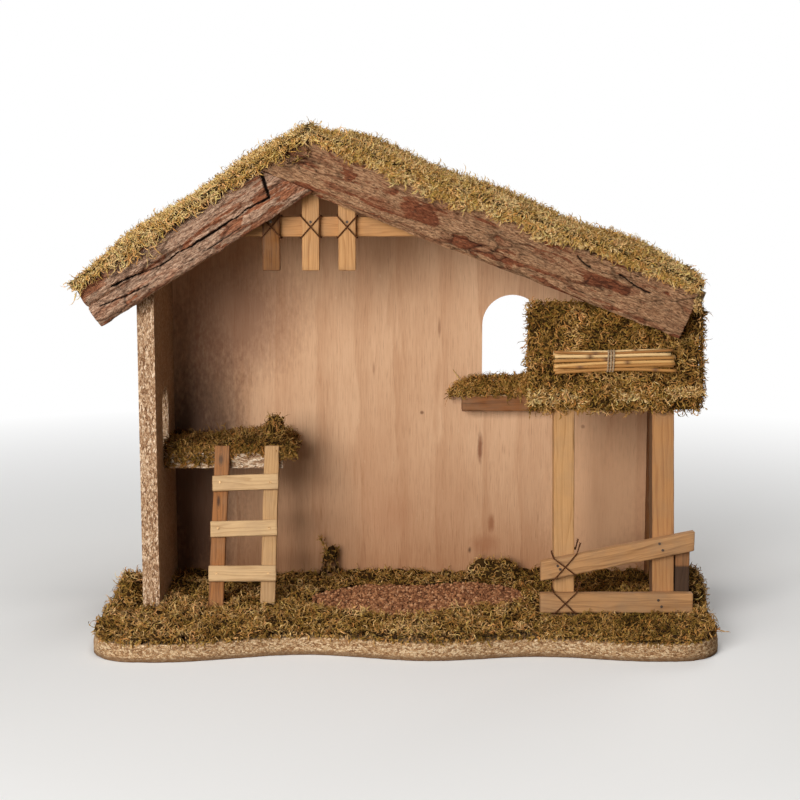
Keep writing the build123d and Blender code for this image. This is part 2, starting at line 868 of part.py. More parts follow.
def moss_sections(origin, slope, run, shares, fringe_shares):
    """Planes across the mat at even steps along a slope, each with its height and fringe."""
    sections = []
    for number, (share, fringe_share) in enumerate(zip(shares, fringe_shares)):
        along = -moss_overhang + (run + moss_overhang) * number / (len(shares) - 1)
        place = (origin[0] + slope[0] * along, 0, origin[1] + slope[1] * along)
        plane = Plane(place, x_dir=(0, 1, 0), z_dir=(slope[0], 0, slope[1]))
        sections.append((plane, moss_height * share, moss_fringe * fringe_share))
    return sections


left_top = left_drop(roof_left_end, 0)
left_length = (ridge_x - roof_left_end) / cos_left + moss_height
left_slope = (cos_left, sin_left)
left_sections = moss_sections(left_top, left_slope, left_length, left_moss_shares, left_fringe_shares)
with BuildPart() as left_roof_moss:
    for plane, height, hang in left_sections:
        with BuildSketch(plane):
            with BuildLine():
                moss_section(height, hang)
            make_face()
    loft()
    split(bisect_by=Plane((ridge_x, 0, 0), z_dir=(1, 0, 0)), keep=Keep.BOTTOM)
left_roof_moss.part.label = "left_roof_moss"
export_step(left_roof_moss.part, "parts/left_roof_moss.step")

right_start = ridge_x - moss_height * cos_right
right_top = (right_start, right_line(right_start, fascia_height))
right_length = (roof_right_end - right_start) / cos_right + moss_overhang
right_slope = (cos_right, -sin_right)
right_sections = moss_sections(right_top, right_slope, right_length, right_moss_shares, right_fringe_shares)
with BuildPart() as right_roof_moss:
    for plane, height, hang in right_sections:
        with BuildSketch(plane):
            with BuildLine():
                moss_section(height, hang)
            make_face()
    loft()
    split(bisect_by=Plane((ridge_x, 0, 0), z_dir=(1, 0, 0)), keep=Keep.TOP)
right_roof_moss.part.label = "right_roof_moss"
export_step(right_roof_moss.part, "parts/right_roof_moss.step")

# Gravel patch in the middle of the yard
with BuildSketch() as gravel_outline:
    with BuildLine():
        gravel_points = []
        for along, inward in gravel_shares:
            point = (gravel_x + along * gravel_half_length, gravel_y + inward * gravel_half_depth)
            gravel_points.append(point)
        Spline(*gravel_points, periodic=True)
    make_face()
with BuildPart() as gravel_patch:
    with BuildSketch(Plane.XY.offset(chipboard)):
        add(gravel_outline.sketch)
    extrude(amount=gravel_height)
gravel_patch.part.label = "gravel_patch"
export_step(gravel_patch.part, "parts/gravel_patch.step")

# Ground moss: a mat over the base, open round everything that stands on it
with BuildPart() as ground_moss_mat:
    with BuildSketch(Plane.XY.offset(chipboard)):
        add(base_outline.sketch)
        with Locations(((wall_left + wall_right) / 2, (wall_front + base_back) / 2)):
            Rectangle(chipboard + 2 * seat_gap, base_back - wall_front + 2 * seat_gap, mode=Mode.SUBTRACT)
        with Locations((right_post_center, (loft_front + post_back) / 2)):
            Rectangle(right_post_width + 2 * seat_gap, post_depth + 2 * seat_gap, mode=Mode.SUBTRACT)
        lashing_room = 2 * twine + 2 * twine_fit + twine_cross_gap + seat_gap
        with Locations((middle_post_center, (rail_front + post_back) / 2)):
            lashed_depth = post_back - rail_front + 2 * lashing_room
            Rectangle(middle_post_width + 2 * lashing_room, lashed_depth, mode=Mode.SUBTRACT)
        with Locations((panel_right - batten_width / 2, base_back - batten_width / 2)):
            Rectangle(batten_width + 2 * seat_gap, batten_width + 2 * seat_gap, mode=Mode.SUBTRACT)
        with Locations((stub_x, loft_front + stub_depth / 2)):
            Rectangle(stub_width + 2 * seat_gap, stub_depth + 2 * seat_gap, mode=Mode.SUBTRACT)
        with Locations(((rail_left + rail_right) / 2, (rail_front + loft_front) / 2)):
            rail_room = rail_right - rail_left + 2 * seat_gap
            Rectangle(rail_room, rail_thickness + 2 * seat_gap, mode=Mode.SUBTRACT)
        stile_depth = stile_thickness / cos(ladder_lean) + ground_moss * tan(ladder_lean)
        for foot_x, head_x in stiles.values():
            with Locations((foot_x, ladder_foot_y + ground_moss * tan(ladder_lean) - stile_depth / 2)):
                Rectangle(stile_width + 2 * seat_gap, stile_depth + 2 * seat_gap, mode=Mode.SUBTRACT)
        add(gravel_outline.sketch, mode=Mode.SUBTRACT)
    extrude(amount=ground_moss)
ground_moss_mat.part.label = "ground_moss"
export_step(ground_moss_mat.part, "parts/ground_moss.step")



def mound_layers(foot, half_width, half_depth, height):
    """Levels of a mound with the half sizes of its oval there, narrower towards the top."""
    layers = []
    for spread, lift in mound_shares:
        layers.append((Plane.XY.offset(foot + lift * height), half_width * spread, half_depth * spread))
    return layers


# Mounds of moss on the mat, each with its place, half sizes and height
right_mound = (right_mound_half_width, right_mound_half_depth, right_mound_height)
left_mound = (left_mound_half_width, left_mound_half_depth, left_mound_height)
back_mound = (back_mound_half_width, back_mound_half_depth, back_mound_height)
tuft = (tuft_half_width, tuft_half_depth, tuft_height)
mounds = {
    "moss_mound_right": ((right_mound_x, right_mound_y), right_mound),
    "moss_mound_left": ((left_mound_x, left_mound_y), left_mound),
    "moss_mound_back": ((back_mound_x, back_mound_y), back_mound),
    "moss_tuft": ((tuft_x, tuft_y), tuft),
}
for name, (place, sizes) in mounds.items():
    with BuildPart() as mound:
        for level, half_width, half_depth in mound_layers(moss_top, *sizes):
            with BuildSketch(level):
                with Locations(place):
                    Ellipse(half_width, half_depth)
        loft()
    mound.part.label = name
    export_step(mound.part, "parts/" + name + ".step")

# Moss on the hay shelf, hanging over its free end, with a tuft near the front
shelf_tuft = (shelf_tuft_half_width, shelf_tuft_half_depth, shelf_tuft_height)
with BuildPart() as shelf_moss:
    with BuildSketch(facing(base_back)):
        with BuildLine():
            moss_left = wall_right + seat_gap
            Polyline((moss_left, shelf_moss_top), (moss_left, shelf_top), (shelf_moss_right, shelf_top))
            Spline(
                (shelf_moss_right, shelf_top),
                (shelf_right, shelf_moss_top),
                ((moss_left + shelf_right) / 2, shelf_moss_top),
                (moss_left, shelf_moss_top),
            )
        make_face()
    extrude(amount=base_back - shelf_moss_front)
    for level, half_width, half_depth in mound_layers(shelf_top + seat_gap, *shelf_tuft):
        with BuildSketch(level):
            with Locations((shelf_tuft_x, shelf_tuft_y)):
                Ellipse(half_width, half_depth)
    loft()
shelf_moss.part.label = "shelf_moss"
export_step(shelf_moss.part, "parts/shelf_moss.step")


# Moss on the front of the loft, hanging over the edge of its floor
def loft_moss_section(x, share):
    """Upright section of the loft moss at x."""
    front = loft_board_y - loft_moss_depth * share
    lip = loft_front - seat_gap
    under_roof = min(loft_board_top + loft_moss_crest, right_line(x, roof_under) - seat_gap)
    Polyline(
        (loft_board_y, loft_floor_top),
        (lip, loft_floor_top),
        (lip, loft_floor_bottom - loft_moss_hang),
        (lip - loft_moss_lip * share, loft_floor_bottom - loft_moss_hang * share),
        (lip - loft_moss_lip * share, loft_floor_top + loft_moss_hang),
        (front, loft_floor_top + 3 * loft_moss_hang),
        (front, under_roof - loft_moss_hang),
        (front + loft_moss_hang, under_roof),
        (loft_board_y, under_roof),
        close=True,
    )


loft_moss_left = loft_left - loft_moss_side
with BuildPart() as loft_moss:
    for number, share in enumerate(loft_moss_shares):
        x = loft_moss_left + (loft_right - loft_moss_left) * number / (len(loft_moss_shares) - 1)
        with BuildSketch(Plane.YZ.offset(x)):
            with BuildLine():
                loft_moss_section(x, share)
            make_face()
    loft(ruled=True)
loft_moss.part.label = "loft_moss"
export_step(loft_moss.part, "parts/loft_moss.step")

# Moss on the window sill
with BuildPart() as sill_moss:
    with BuildSketch(facing(base_back)):
        with BuildLine():
            sill_moss_right = loft_floor_left - seat_gap
            Polyline((sill_moss_left, sill_top), (sill_moss_right, sill_top))
            Polyline((sill_moss_right, sill_top), (sill_moss_right, sill_top + sill_moss_height))
            Spline(
                (sill_moss_right, sill_top + sill_moss_height),
                ((sill_left + sill_moss_right) / 2, sill_top + sill_moss_height * 3 / 4),
                (sill_left, sill_top + sill_moss_height / 2),
                (sill_moss_left, sill_top),
            )
        make_face()
    extrude(amount=sill_depth)
sill_moss.part.label = "sill_moss"
export_step(sill_moss.part, "parts/sill_moss.step")
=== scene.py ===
# %% [markdown]
# # A wooden nativity stable, dressed in Blender
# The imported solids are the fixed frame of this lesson. Each step takes one piece or one finish of the
# stable, says what it is on the real object, and builds it on those solids. Lengths inside the code are
# in millimetres, because that is how the stable was measured; a mesh turns them into metres at the end.

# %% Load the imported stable
import math
from collections import namedtuple
from itertools import product

import bpy
import numpy as np
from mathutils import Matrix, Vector
from mathutils.bvhtree import BVHTree
from mathutils.kdtree import KDTree


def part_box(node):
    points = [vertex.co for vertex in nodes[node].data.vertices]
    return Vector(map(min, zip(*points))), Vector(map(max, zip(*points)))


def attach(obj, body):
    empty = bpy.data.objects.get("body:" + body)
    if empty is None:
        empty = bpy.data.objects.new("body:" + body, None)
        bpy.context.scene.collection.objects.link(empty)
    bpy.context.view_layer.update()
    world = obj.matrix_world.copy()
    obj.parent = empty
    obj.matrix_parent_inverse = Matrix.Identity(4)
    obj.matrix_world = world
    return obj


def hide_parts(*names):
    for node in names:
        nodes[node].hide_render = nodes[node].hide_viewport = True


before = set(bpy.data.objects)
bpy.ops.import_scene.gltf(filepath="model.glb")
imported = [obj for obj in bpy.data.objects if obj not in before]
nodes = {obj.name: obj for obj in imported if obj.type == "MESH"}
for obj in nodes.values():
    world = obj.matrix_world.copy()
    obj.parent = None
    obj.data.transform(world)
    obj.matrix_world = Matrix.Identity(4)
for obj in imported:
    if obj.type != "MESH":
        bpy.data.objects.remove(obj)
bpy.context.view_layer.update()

scene = bpy.context.scene
MM = 0.001

# %% [markdown]
# ## Camera
# The photograph looks at the open front from a little above the ridge. Its place and lens were solved from
# the upright wall, the tips of the roof and the base, so the camera comes first. The lens belongs to a 36 mm
# wide sensor and a square picture.

# %% Camera
lens_view = bpy.data.cameras.new("camera")
lens_view.sensor_fit = "HORIZONTAL"
lens_view.sensor_width = 36.0
lens_view.lens = 75.45
camera = bpy.data.objects.new("camera", lens_view)
camera.location = (0.0, -1.17958, 0.33364)
camera.rotation_euler = (math.radians(81.81), 0.0, 0.0)
scene.collection.objects.link(camera)
scene.camera = camera
scene.view_settings.view_transform = "Standard"
print("camera at", tuple(round(v, 3) for v in camera.location))

# %% [markdown]
# ## Small helpers for shader nodes
# A finish is easier to read when one line makes one node. `add` places a node, sets its values and joins
# its inputs; `tone` turns a colour as a painter would write it into the linear colour that shaders use.


# %% Node helpers: colours and arithmetic
def tone(code):
    """Linear colour of a hex tone."""
    parts = [int(code[at:at + 2], 16) / 255 for at in (0, 2, 4)]
    return tuple(c / 12.92 if c <= 0.04045 else ((c + 0.055) / 1.055) ** 2.4 for c in parts) + (1.0,)


def palette(codes):
    """Linear colours of a row of hex tones."""
    return [tone(code) for code in codes.split()]


def join(tree, socket, target):
    """Link from an output to an input."""
    tree.links.new(socket, target)


def feed(tree, target, value):
    """An input gets another node's output or a constant."""
    if isinstance(value, bpy.types.NodeSocket):
        join(tree, value, target)
    else:
        target.default_value = value


def add(tree, kind, inputs=None, **settings):
    """One node: settings on the node, and each input either a value or another node's socket."""
    node = tree.nodes.new("ShaderNode" + kind)
    for key, value in settings.items():
        setattr(node, key, value)
    for key, value in (inputs or {}).items():
        feed(tree, node.inputs[key], value)
    return node


def math_node(tree, operation, a, b=0.0, clamp=False):
    """Arithmetic on two values."""
    return add(tree, "Math", {0: a, 1: b}, operation=operation, use_clamp=clamp).outputs[0]


def times(tree, a, b):
    """Product of two values."""
    return math_node(tree, "MULTIPLY", a, b)


def weighed(tree, *pairs):
    """Sum of values, each times its weight."""
    total = None
    for value, weight in pairs:
        part = value if weight == 1 else times(tree, value, weight)
        total = part if total is None else math_node(tree, "ADD", total, part)
    return total


def vector_node(tree, operation, a, b=(0.0, 0.0, 0.0), output="Vector"):
    """Arithmetic on two vectors; the output is a vector or a value."""
    return add(tree, "VectorMath", {0: a, 1: b}, operation=operation).outputs[output]


def scaled(tree, vector, factors):
    """Coordinates stretched along each axis."""
    return vector_node(tree, "MULTIPLY", vector, factors)


def span(tree, value, low, high, out_low=0.0, out_high=1.0):
    """Value stretched from one range to another, clamped."""
    inputs = {0: value, 1: low, 2: high, 3: out_low, 4: out_high}
    return add(tree, "MapRange", inputs, clamp=True).outputs[0]


def blend(tree, factor, a, b, blend_type="MIX"):
    """Mix of two colours by a factor."""
    inputs = {0: factor, 6: a, 7: b}
    return add(tree, "Mix", inputs, data_type="RGBA", blend_type=blend_type, clamp_factor=True).outputs[2]


def ramp(tree, factor, places, colours):
    """Colour ramp through colours at their places."""
    node = add(tree, "ValToRGB", {0: factor})
    marks = node.color_ramp.elements
    while len(marks) < len(places):
        marks.new(1.0)
    for mark, place, colour in zip(marks, places, colours):
        mark.position = place
        mark.color = colour
    return node.outputs[0]


def stepped(tree, value, places, colours):
    """Colours one after another at their places: a ramp whose colours can come from sockets."""
    mixed = colours[0]
    for low, high, colour in zip(places, places[1:], colours[1:]):
        mixed = blend(tree, span(tree, value, low, high), mixed, colour)
    return mixed


print("node helpers ready")


# %% Node helpers: places, groups and materials
def place_mm(tree):
    """Coordinates of the frame in millimetres."""
    return scaled(tree, add(tree, "TexCoord").outputs["Object"], (1000.0, 1000.0, 1000.0))


def height_in(tree, place):
    """Height part of coordinates."""
    return add(tree, "SeparateXYZ", {0: place}).outputs[2]


def facing(tree, direction):
    """How squarely a surface faces a direction: 1 towards it, -1 away from it."""
    normal = add(tree, "NewGeometry").outputs["Normal"]
    return vector_node(tree, "DOT_PRODUCT", normal, direction, "Value")


def attribute(tree, name, output="Fac"):
    """A value that a mesh carries at its points."""
    return add(tree, "Attribute", attribute_name=name).outputs[output]


def noise_value(tree, vector, per_mm, detail=3.0, roughness=0.55, distortion=0.0):
    """Noise with a number of lumps per millimetre, the same or different along each axis."""
    factors = per_mm if isinstance(per_mm, tuple) else (per_mm,) * 3
    inputs = {"Vector": scaled(tree, vector, factors), "Scale": 1.0, "Detail": detail,
              "Roughness": roughness, "Distortion": distortion}
    return add(tree, "TexNoise", inputs).outputs[0]


ORIGIN, WHITE = (0, 0, 0), (1, 1, 1, 1)
COLOUR_AND_HEIGHT = {"Color": "Color", "Height": "Float"}


def group(name, inputs, outputs):
    """Empty node group: inputs with their first values, outputs with their kinds; returns it and its sockets."""
    tree = bpy.data.node_groups.new(name, "ShaderNodeTree")
    for label, value in inputs.items():
        kind = {3: "Vector", 4: "Color"}[len(value)] if isinstance(value, tuple) else "Float"
        socket = tree.interface.new_socket(label, in_out="INPUT", socket_type="NodeSocket" + kind)
        socket.default_value = value
    for label, kind in outputs.items():
        tree.interface.new_socket(label, in_out="OUTPUT", socket_type="NodeSocket" + kind)
    return tree, tree.nodes.new("NodeGroupInput").outputs, tree.nodes.new("NodeGroupOutput").inputs


def use(tree, group_tree, inputs):
    """The group placed in a material with its own values; returns its outputs."""
    return add(tree, "Group", inputs, node_tree=group_tree).outputs


def finish(name, roughness=0.8, specular=0.3):
    """New material with one Principled shader; returns the material, its tree and the shader's inputs."""
    material = bpy.data.materials.new(name)
    material.use_nodes = True
    tree = material.node_tree
    tree.nodes.clear()
    shader = add(tree, "BsdfPrincipled", {"Roughness": roughness, "Specular IOR Level": specular})
    join(tree, shader.outputs[0], add(tree, "OutputMaterial").inputs[0])
    return material, tree, shader.inputs


def bumped(tree, shader, height, strength, depth):
    """Fine relief: the shader's normal follows a height of the given depth in metres."""
    bump = add(tree, "Bump", {"Strength": strength, "Distance": depth, "Height": height})
    join(tree, bump.outputs[0], shader["Normal"])


print("material helpers ready")

# %% [markdown]
# ## Shared effect: wood grain
# Sawn softwood shows growth bands that run along the lath, fine fibres and a few dark streaks. The group
# takes coordinates whose first axis runs along the grain, so one group serves every lath, whichever way it
# is nailed. It puts out a colour and a height for the bump.

# %% Group: wood grain
grain_inputs = {"Coordinates": ORIGIN, "Light": WHITE, "Dark": WHITE, "Band Width": 2.4, "Streaks": 0.4}
wood_grain, given, gives = group("wood_grain", grain_inputs, COLOUR_AND_HEIGHT)
tree, long_way = wood_grain, given["Coordinates"]
drift = noise_value(tree, long_way, (0.011, 0.09, 0.09), 2.0)
fibre = noise_value(tree, long_way, (0.05, 1.9, 1.9), 5.0, 0.65)
streak = noise_value(tree, long_way, (0.025, 0.55, 0.55))
across_grain = add(tree, "SeparateXYZ", {0: long_way}).outputs
ring = weighed(tree, (across_grain[1], 1), (across_grain[2], 0.55), (drift, 16.0))
ring = math_node(tree, "FRACT", math_node(tree, "DIVIDE", ring, given["Band Width"]))
band = ramp(tree, ring, (0.0, 0.62, 0.9, 1.0), [(grey, grey, grey, 1) for grey in (0, 0.35, 1, 0)])
streak = times(tree, span(tree, streak, 0.5, 0.78), given["Streaks"])
dark_share = weighed(tree, (band, 0.42), (span(tree, fibre, 0.4, 0.75, 0.0, 0.45), 1))
dark_share = math_node(tree, "ADD", dark_share, streak, clamp=True)
join(tree, blend(tree, dark_share, given["Light"], given["Dark"]), gives["Color"])
join(tree, weighed(tree, (fibre, 1), (band, -0.3)), gives["Height"])
print("group", wood_grain.name)

# %% [markdown]
# ## Shared effect: ragged spots
# A stain, a knot, a scratch, and each patch of painted shade and light on the panel is a soft spot with a
# ragged rim. The group measures how far a point lies from the spot's middle in units of its reach, and
# roughens that distance with noise.

# %% Group: ragged spot
ragged_spot_inputs = {"Coordinates": ORIGIN, "Middle": ORIGIN, "Reach": (5, 5, 5), "Ragged": 0.6}
ragged_spot, given, gives = group("ragged_spot", ragged_spot_inputs, {"Mask": "Float", "Rings": "Float"})
tree = ragged_spot
away = vector_node(tree, "SUBTRACT", given["Coordinates"], given["Middle"])
away = vector_node(tree, "LENGTH", vector_node(tree, "DIVIDE", away, given["Reach"]), output="Value")
rag = noise_value(tree, given["Coordinates"], (0.45, 0.45, 0.22), 4.0)
rag = times(tree, math_node(tree, "SUBTRACT", rag, 0.5), given["Ragged"])
away = math_node(tree, "ADD", away, rag)
join(tree, span(tree, away, 1.0, 0.35), gives["Mask"])
rings = math_node(tree, "SINE", times(tree, away, 15.0))
join(tree, times(tree, rings, span(tree, away, 1.5, 0.8)), gives["Rings"])
print("group", ragged_spot.name)

# %% [markdown]
# ## Shared effect: chipboard flakes
# Chipboard is pressed from flakes that lie flat in the board, so its sawn edges show short pale and brown
# dashes. Cells of a Voronoi pattern, squeezed across the board's thickness, give flakes of one colour each;
# a finer set breaks them up, and the borders between cells become small dark gaps.

# %% Group: chipboard flakes
flake_inputs = {"Coordinates": ORIGIN, "Flake Size": 3.0, "Pale": 0.0, "Tint": WHITE}
chip_flakes, given, gives = group("chip_flakes", flake_inputs, COLOUR_AND_HEIGHT)
tree = chip_flakes
shift = add(tree, "TexNoise", {"Vector": given["Coordinates"], "Scale": 0.35, "Detail": 2.0}).outputs["Color"]
flake_way = vector_node(tree, "ADD", given["Coordinates"], scaled(tree, shift, (2.2, 2.2, 2.2)))
flake_scale = math_node(tree, "DIVIDE", 1.0, given["Flake Size"])
fine_scale = times(tree, flake_scale, 2.3)
large, fine, rim = [
    add(tree, "TexVoronoi", {"Vector": flake_way, "Scale": scale}, feature=feature).outputs[output]
    for scale, feature, output in ((flake_scale, "F1", "Color"), (fine_scale, "F1", "Color"),
                                   (flake_scale, "DISTANCE_TO_EDGE", "Distance"))
]
pick_large = add(tree, "SeparateColor", {0: large}).outputs[0]
pick_fine = add(tree, "SeparateColor", {0: fine}).outputs[1]
pick = weighed(tree, (pick_large, 0.55), (pick_fine, 0.45), (given["Pale"], 1))
flake_tones = palette("5b3f2b 947257 bd9f82 d9c1a6 f7ecdd")
flake_colour = ramp(tree, pick, (0.1, 0.32, 0.52, 0.7, 0.92), flake_tones)
flake_colour = blend(tree, 1.0, flake_colour, given["Tint"], "MULTIPLY")
gap_share = span(tree, rim, 0.0, 0.09, 0.55, 0.0)
join(tree, blend(tree, gap_share, flake_colour, tone("4a3220")), gives["Color"])
join(tree, math_node(tree, "SUBTRACT", pick, gap_share), gives["Height"])
print("group", chip_flakes.name)

# %% [markdown]
# ## Chipboard and plywood boards
# The wall, the roof and the shelf are chipboard whose broad faces carry a thin smooth skin, so flakes show
# plainly on the sawn edges and only faintly on the faces. The back panel is rotary-cut plywood: a pinkish
# veneer with upright pores, cloudy tone, and a few stains and scratches from use. It also carries painted
# shade towards the floor, in its left corner and under the roof, and a painted pool of light between the
# posts. The stains sit where the photograph shows them. The skin and the pores serve several boards, so each
# is a group as well.

# %% Groups: board skin and veneer pores
board_skin, given, gives = group("board_skin", {"Coordinates": ORIGIN, "Color": WHITE, "On Face": 0.0},
                                 {"Color": "Color"})
tree = board_skin
skin = blend(tree, noise_value(tree, given["Coordinates"], 0.03, 4.0), tone("8d6c4d"), tone("b08c66"))
skin = blend(tree, 0.3, skin, given["Color"])
join(tree, blend(tree, given["On Face"], given["Color"], skin), gives["Color"])

veneer_pores, given, gives = group("veneer_pores", {"Coordinates": ORIGIN, "Color": WHITE, "Dark": WHITE},
                                   {"Color": "Color", "Pore": "Float", "Depth": "Float"})
tree, place = veneer_pores, given["Coordinates"]
pore = noise_value(tree, place, (1.9, 1.9, 0.075), 3.0, 0.6)
cloud = noise_value(tree, place, (0.018, 0.018, 0.011), 4.0)
fleck = noise_value(tree, place, (0.5, 0.5, 0.16), 2.0)
pore_depth = span(tree, pore, 0.55, 0.72, 0.0, 0.34)
colour = blend(tree, span(tree, cloud, 0.35, 0.7, 0.0, 0.45), given["Color"], given["Dark"])
colour = blend(tree, pore_depth, colour, tone("7d5236"))
colour = blend(tree, span(tree, fleck, 0.66, 0.8, 0.0, 0.4), colour, tone("e2c3a0"))
for output, socket in (("Color", colour), ("Pore", pore), ("Depth", pore_depth)):
    join(tree, socket, gives[output])
print("groups", board_skin.name, veneer_pores.name)


# %% Chipboard finish
def chipboard_finish(name, squeeze, face_way, low_shade=0.0, flake=2.2, pale=0.0, tint=(1, 0.95, 0.87, 1)):
    """Chipboard; squeeze presses flakes across the board, face_way points out of its broad face, low_shade paints
    shade low down.
    """
    material, tree, shader = finish(name, 0.85, 0.2)
    place = place_mm(tree)
    flakes = use(tree, chip_flakes, {"Coordinates": scaled(tree, place, squeeze), "Flake Size": flake,
                                     "Pale": pale, "Tint": tint})
    on_face = span(tree, math_node(tree, "ABSOLUTE", facing(tree, face_way)), 0.8, 0.95)
    skin = {"Coordinates": place, "Color": flakes["Color"], "On Face": on_face}
    colour = use(tree, board_skin, skin)["Color"]
    if low_shade:
        # Painted shade: the lowest few millimetres of the board darken towards brown, where it meets the floor.
        shade_near_floor = span(tree, height_in(tree, place), 3.8, 2.0, 0.0, low_shade)
        colour = blend(tree, shade_near_floor, colour, tone("75573c"))
    join(tree, colour, shader["Base Color"])
    bumped(tree, shader, flakes["Height"], 0.5, 0.0006)
    return material


LEFT_PITCH, RIGHT_PITCH = 32.4, -21.2


def slope_ways(pitch):
    """Directions up a slope and straight out of it, for a pitch in degrees."""
    lean = math.radians(pitch)
    return np.array((math.cos(lean), 0, math.sin(lean))), np.array((-math.sin(lean), 0, math.cos(lean)))


wall_finish = chipboard_finish("chipboard_wall", (1.9, 1.0, 0.7), (1, 0, 0), flake=1.6, pale=0.02,
                               tint=(0.98, 0.86, 0.73, 1))
roof_left_finish, roof_right_finish = [
    chipboard_finish("chipboard_roof_" + side, (1.0, 1.0, 2.0), tuple(slope_ways(pitch)[1]))
    for side, pitch in (("left", LEFT_PITCH), ("right", RIGHT_PITCH))
]
shelf_finish = chipboard_finish("chipboard_shelf", (0.7, 1.0, 2.0), (0, 0, 1))
base_finish = chipboard_finish("chipboard_base", (0.7, 0.7, 1.3), (0, 0, 1), low_shade=0.8, flake=1.35,
                               pale=0.12, tint=(0.8, 0.66, 0.47, 1))
print("chipboard finishes ready")


# %% Plywood finish
panel_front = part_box("back_panel")[0][1] / MM


def veneer_finish(name, light, dark, marks=(), floor_shade_tint=(0.68, 0.57, 0.48, 1.0)):
    """Plywood with upright grain, painted shade towards the floor; marks are (place, reach, colour, strength)."""
    material, tree, shader = finish(name, 0.72, 0.3)
    place = place_mm(tree)
    turned = add(tree, "Mapping", {"Vector": place, "Rotation": (0.0, math.radians(90), 0.0)}).outputs[0]
    grain = use(tree, wood_grain, {"Coordinates": turned, "Light": light, "Dark": dark,
                                   "Band Width": 17.0, "Streaks": 0.25})
    pores = use(tree, veneer_pores, {"Coordinates": place, "Color": grain["Color"], "Dark": dark})
    # Painted shade: the veneer is multiplied darker towards the floor.
    low = span(tree, height_in(tree, place), 150.0, 25.0)
    colour = blend(tree, times(tree, low, low), pores["Color"], floor_shade_tint, "MULTIPLY")
    for (x, z), (wide, tall), mark_tone, strength in marks:
        mark = {"Coordinates": place, "Middle": (x, panel_front, z), "Reach": (wide, 3, tall)}
        spot = use(tree, ragged_spot, mark)
        colour = blend(tree, times(tree, spot["Mask"], strength), colour, tone(mark_tone))
    join(tree, colour, shader["Base Color"])
    join(tree, span(tree, pores["Pore"], 0.4, 0.7, 0.62, 0.82), shader["Roughness"])
    bumped(tree, shader, math_node(tree, "SUBTRACT", grain["Height"], pores["Depth"]), 0.3, 0.0004)
    return material


# Most marks are stains and scratches. The large dark marks at -140, -158 and -128 mm are painted shade in the left
# corner and under the roof; the large pale mark at 155 mm is a painted pool of light between the posts.
panel_stains_and_shading = (
    ((61.6, 114), (2.6, 15), "7a4526", 0.85), ((70.5, 54), (3.4, 9), "8a512e", 0.7),
    ((66, 38), (14, 9), "9a6340", 0.5), ((54, 33), (1.6, 3.2), "4b2c18", 0.8),
    ((16.9, 141), (1.8, 1.8), "6d4428", 0.8), ((140.5, 130), (2.0, 1.8), "6d4428", 0.7),
    ((-8, 60), (20, 26), "b07c58", 0.35), ((-140, 150), (30, 60), "7d5236", 0.5),
    ((-158, 90), (44, 150), "46291a", 0.8), ((-128, 215), (62, 62), "7a4d36", 0.6),
    ((155, 70), (48, 80), "e0ae84", 0.6), ((30, 206), (1.4, 9), "8d5f3e", 0.6),
    ((-20, 175), (1.2, 6), "8d5f3e", 0.5),
)
panel_finish = veneer_finish("plywood_panel", tone("dcb28c"), tone("b98862"), panel_stains_and_shading)
loft_finish = veneer_finish("plywood_loft", tone("c99a70"), tone("98683f"))
print("plywood finishes ready, panel marks", len(panel_stains_and_shading))

# %% [markdown]
# ## Nails
# The fence and the gable are held by plain wire nails, dulled and a little rusty; the ladder by pale brassed
# brads that hardly show on the wood. Their solids have the right shape, so they only get a metal finish with
# rust in patches. The patches are a group, and one function makes both finishes, because only the tones differ.

# %% Group: rust patches
rust_patches, given, gives = group("rust_patches", {"Coordinates": ORIGIN}, {"Mask": "Float"})
rust = noise_value(rust_patches, given["Coordinates"], 0.9)
join(rust_patches, span(rust_patches, rust, 0.42, 0.62), gives["Mask"])
print("group", rust_patches.name)


# %% Nail finish
def nail_finish(name, bare, rusty, metal):
    """Nail heads that are bare in places and rusty in others."""
    material, tree, shader = finish(name, 0.5, 0.5)
    rust = use(tree, rust_patches, {"Coordinates": place_mm(tree)})["Mask"]
    join(tree, blend(tree, rust, bare, rusty), shader["Base Color"])
    join(tree, span(tree, rust, 0.0, 1.0, metal, 0.1), shader["Metallic"])
    join(tree, span(tree, rust, 0.0, 1.0, 0.42, 0.8), shader["Roughness"])
    return material


dull_nail = nail_finish("dull_nail", tone("5b4c40"), tone("3a2418"), 0.55)
brass_brad = nail_finish("brass_brad", tone("c9a06a"), tone("a37a49"), 0.2)
print("nail finishes ready")

# %% [markdown]
# ## Solids that keep their shape
# Flat boards and round nail heads already look right as packed, so they are dressed and nothing else: each
# solid's mesh gets one material.

# %% Dress boards and nails
dressed = {"left_wall": wall_finish, "left_roof_board": roof_left_finish, "right_roof_board": roof_right_finish,
           "hay_shelf": shelf_finish, "back_panel": panel_finish}
dressed.update({"loft_" + board: loft_finish for board in ("floor", "front_board")})
dressed.update({held + "_nails": dull_nail for held in ("fence", "rail", "slat")})
dressed.update({"ladder_nails_" + side: brass_brad for side in ("left", "right")})
for node, material in dressed.items():
    nodes[node].data.materials.clear()
    nodes[node].data.materials.append(material)
print("solids dressed", len(dressed))

# %% [markdown]
# ## Noise and mesh helpers
# Rough wood, bark and moss all need the same uneven lumps at their points, so one noise function works on
# whole arrays at once. `make_piece` turns points and faces into an object that rides on the stable, takes a
# material, and stands for the solids it replaces.


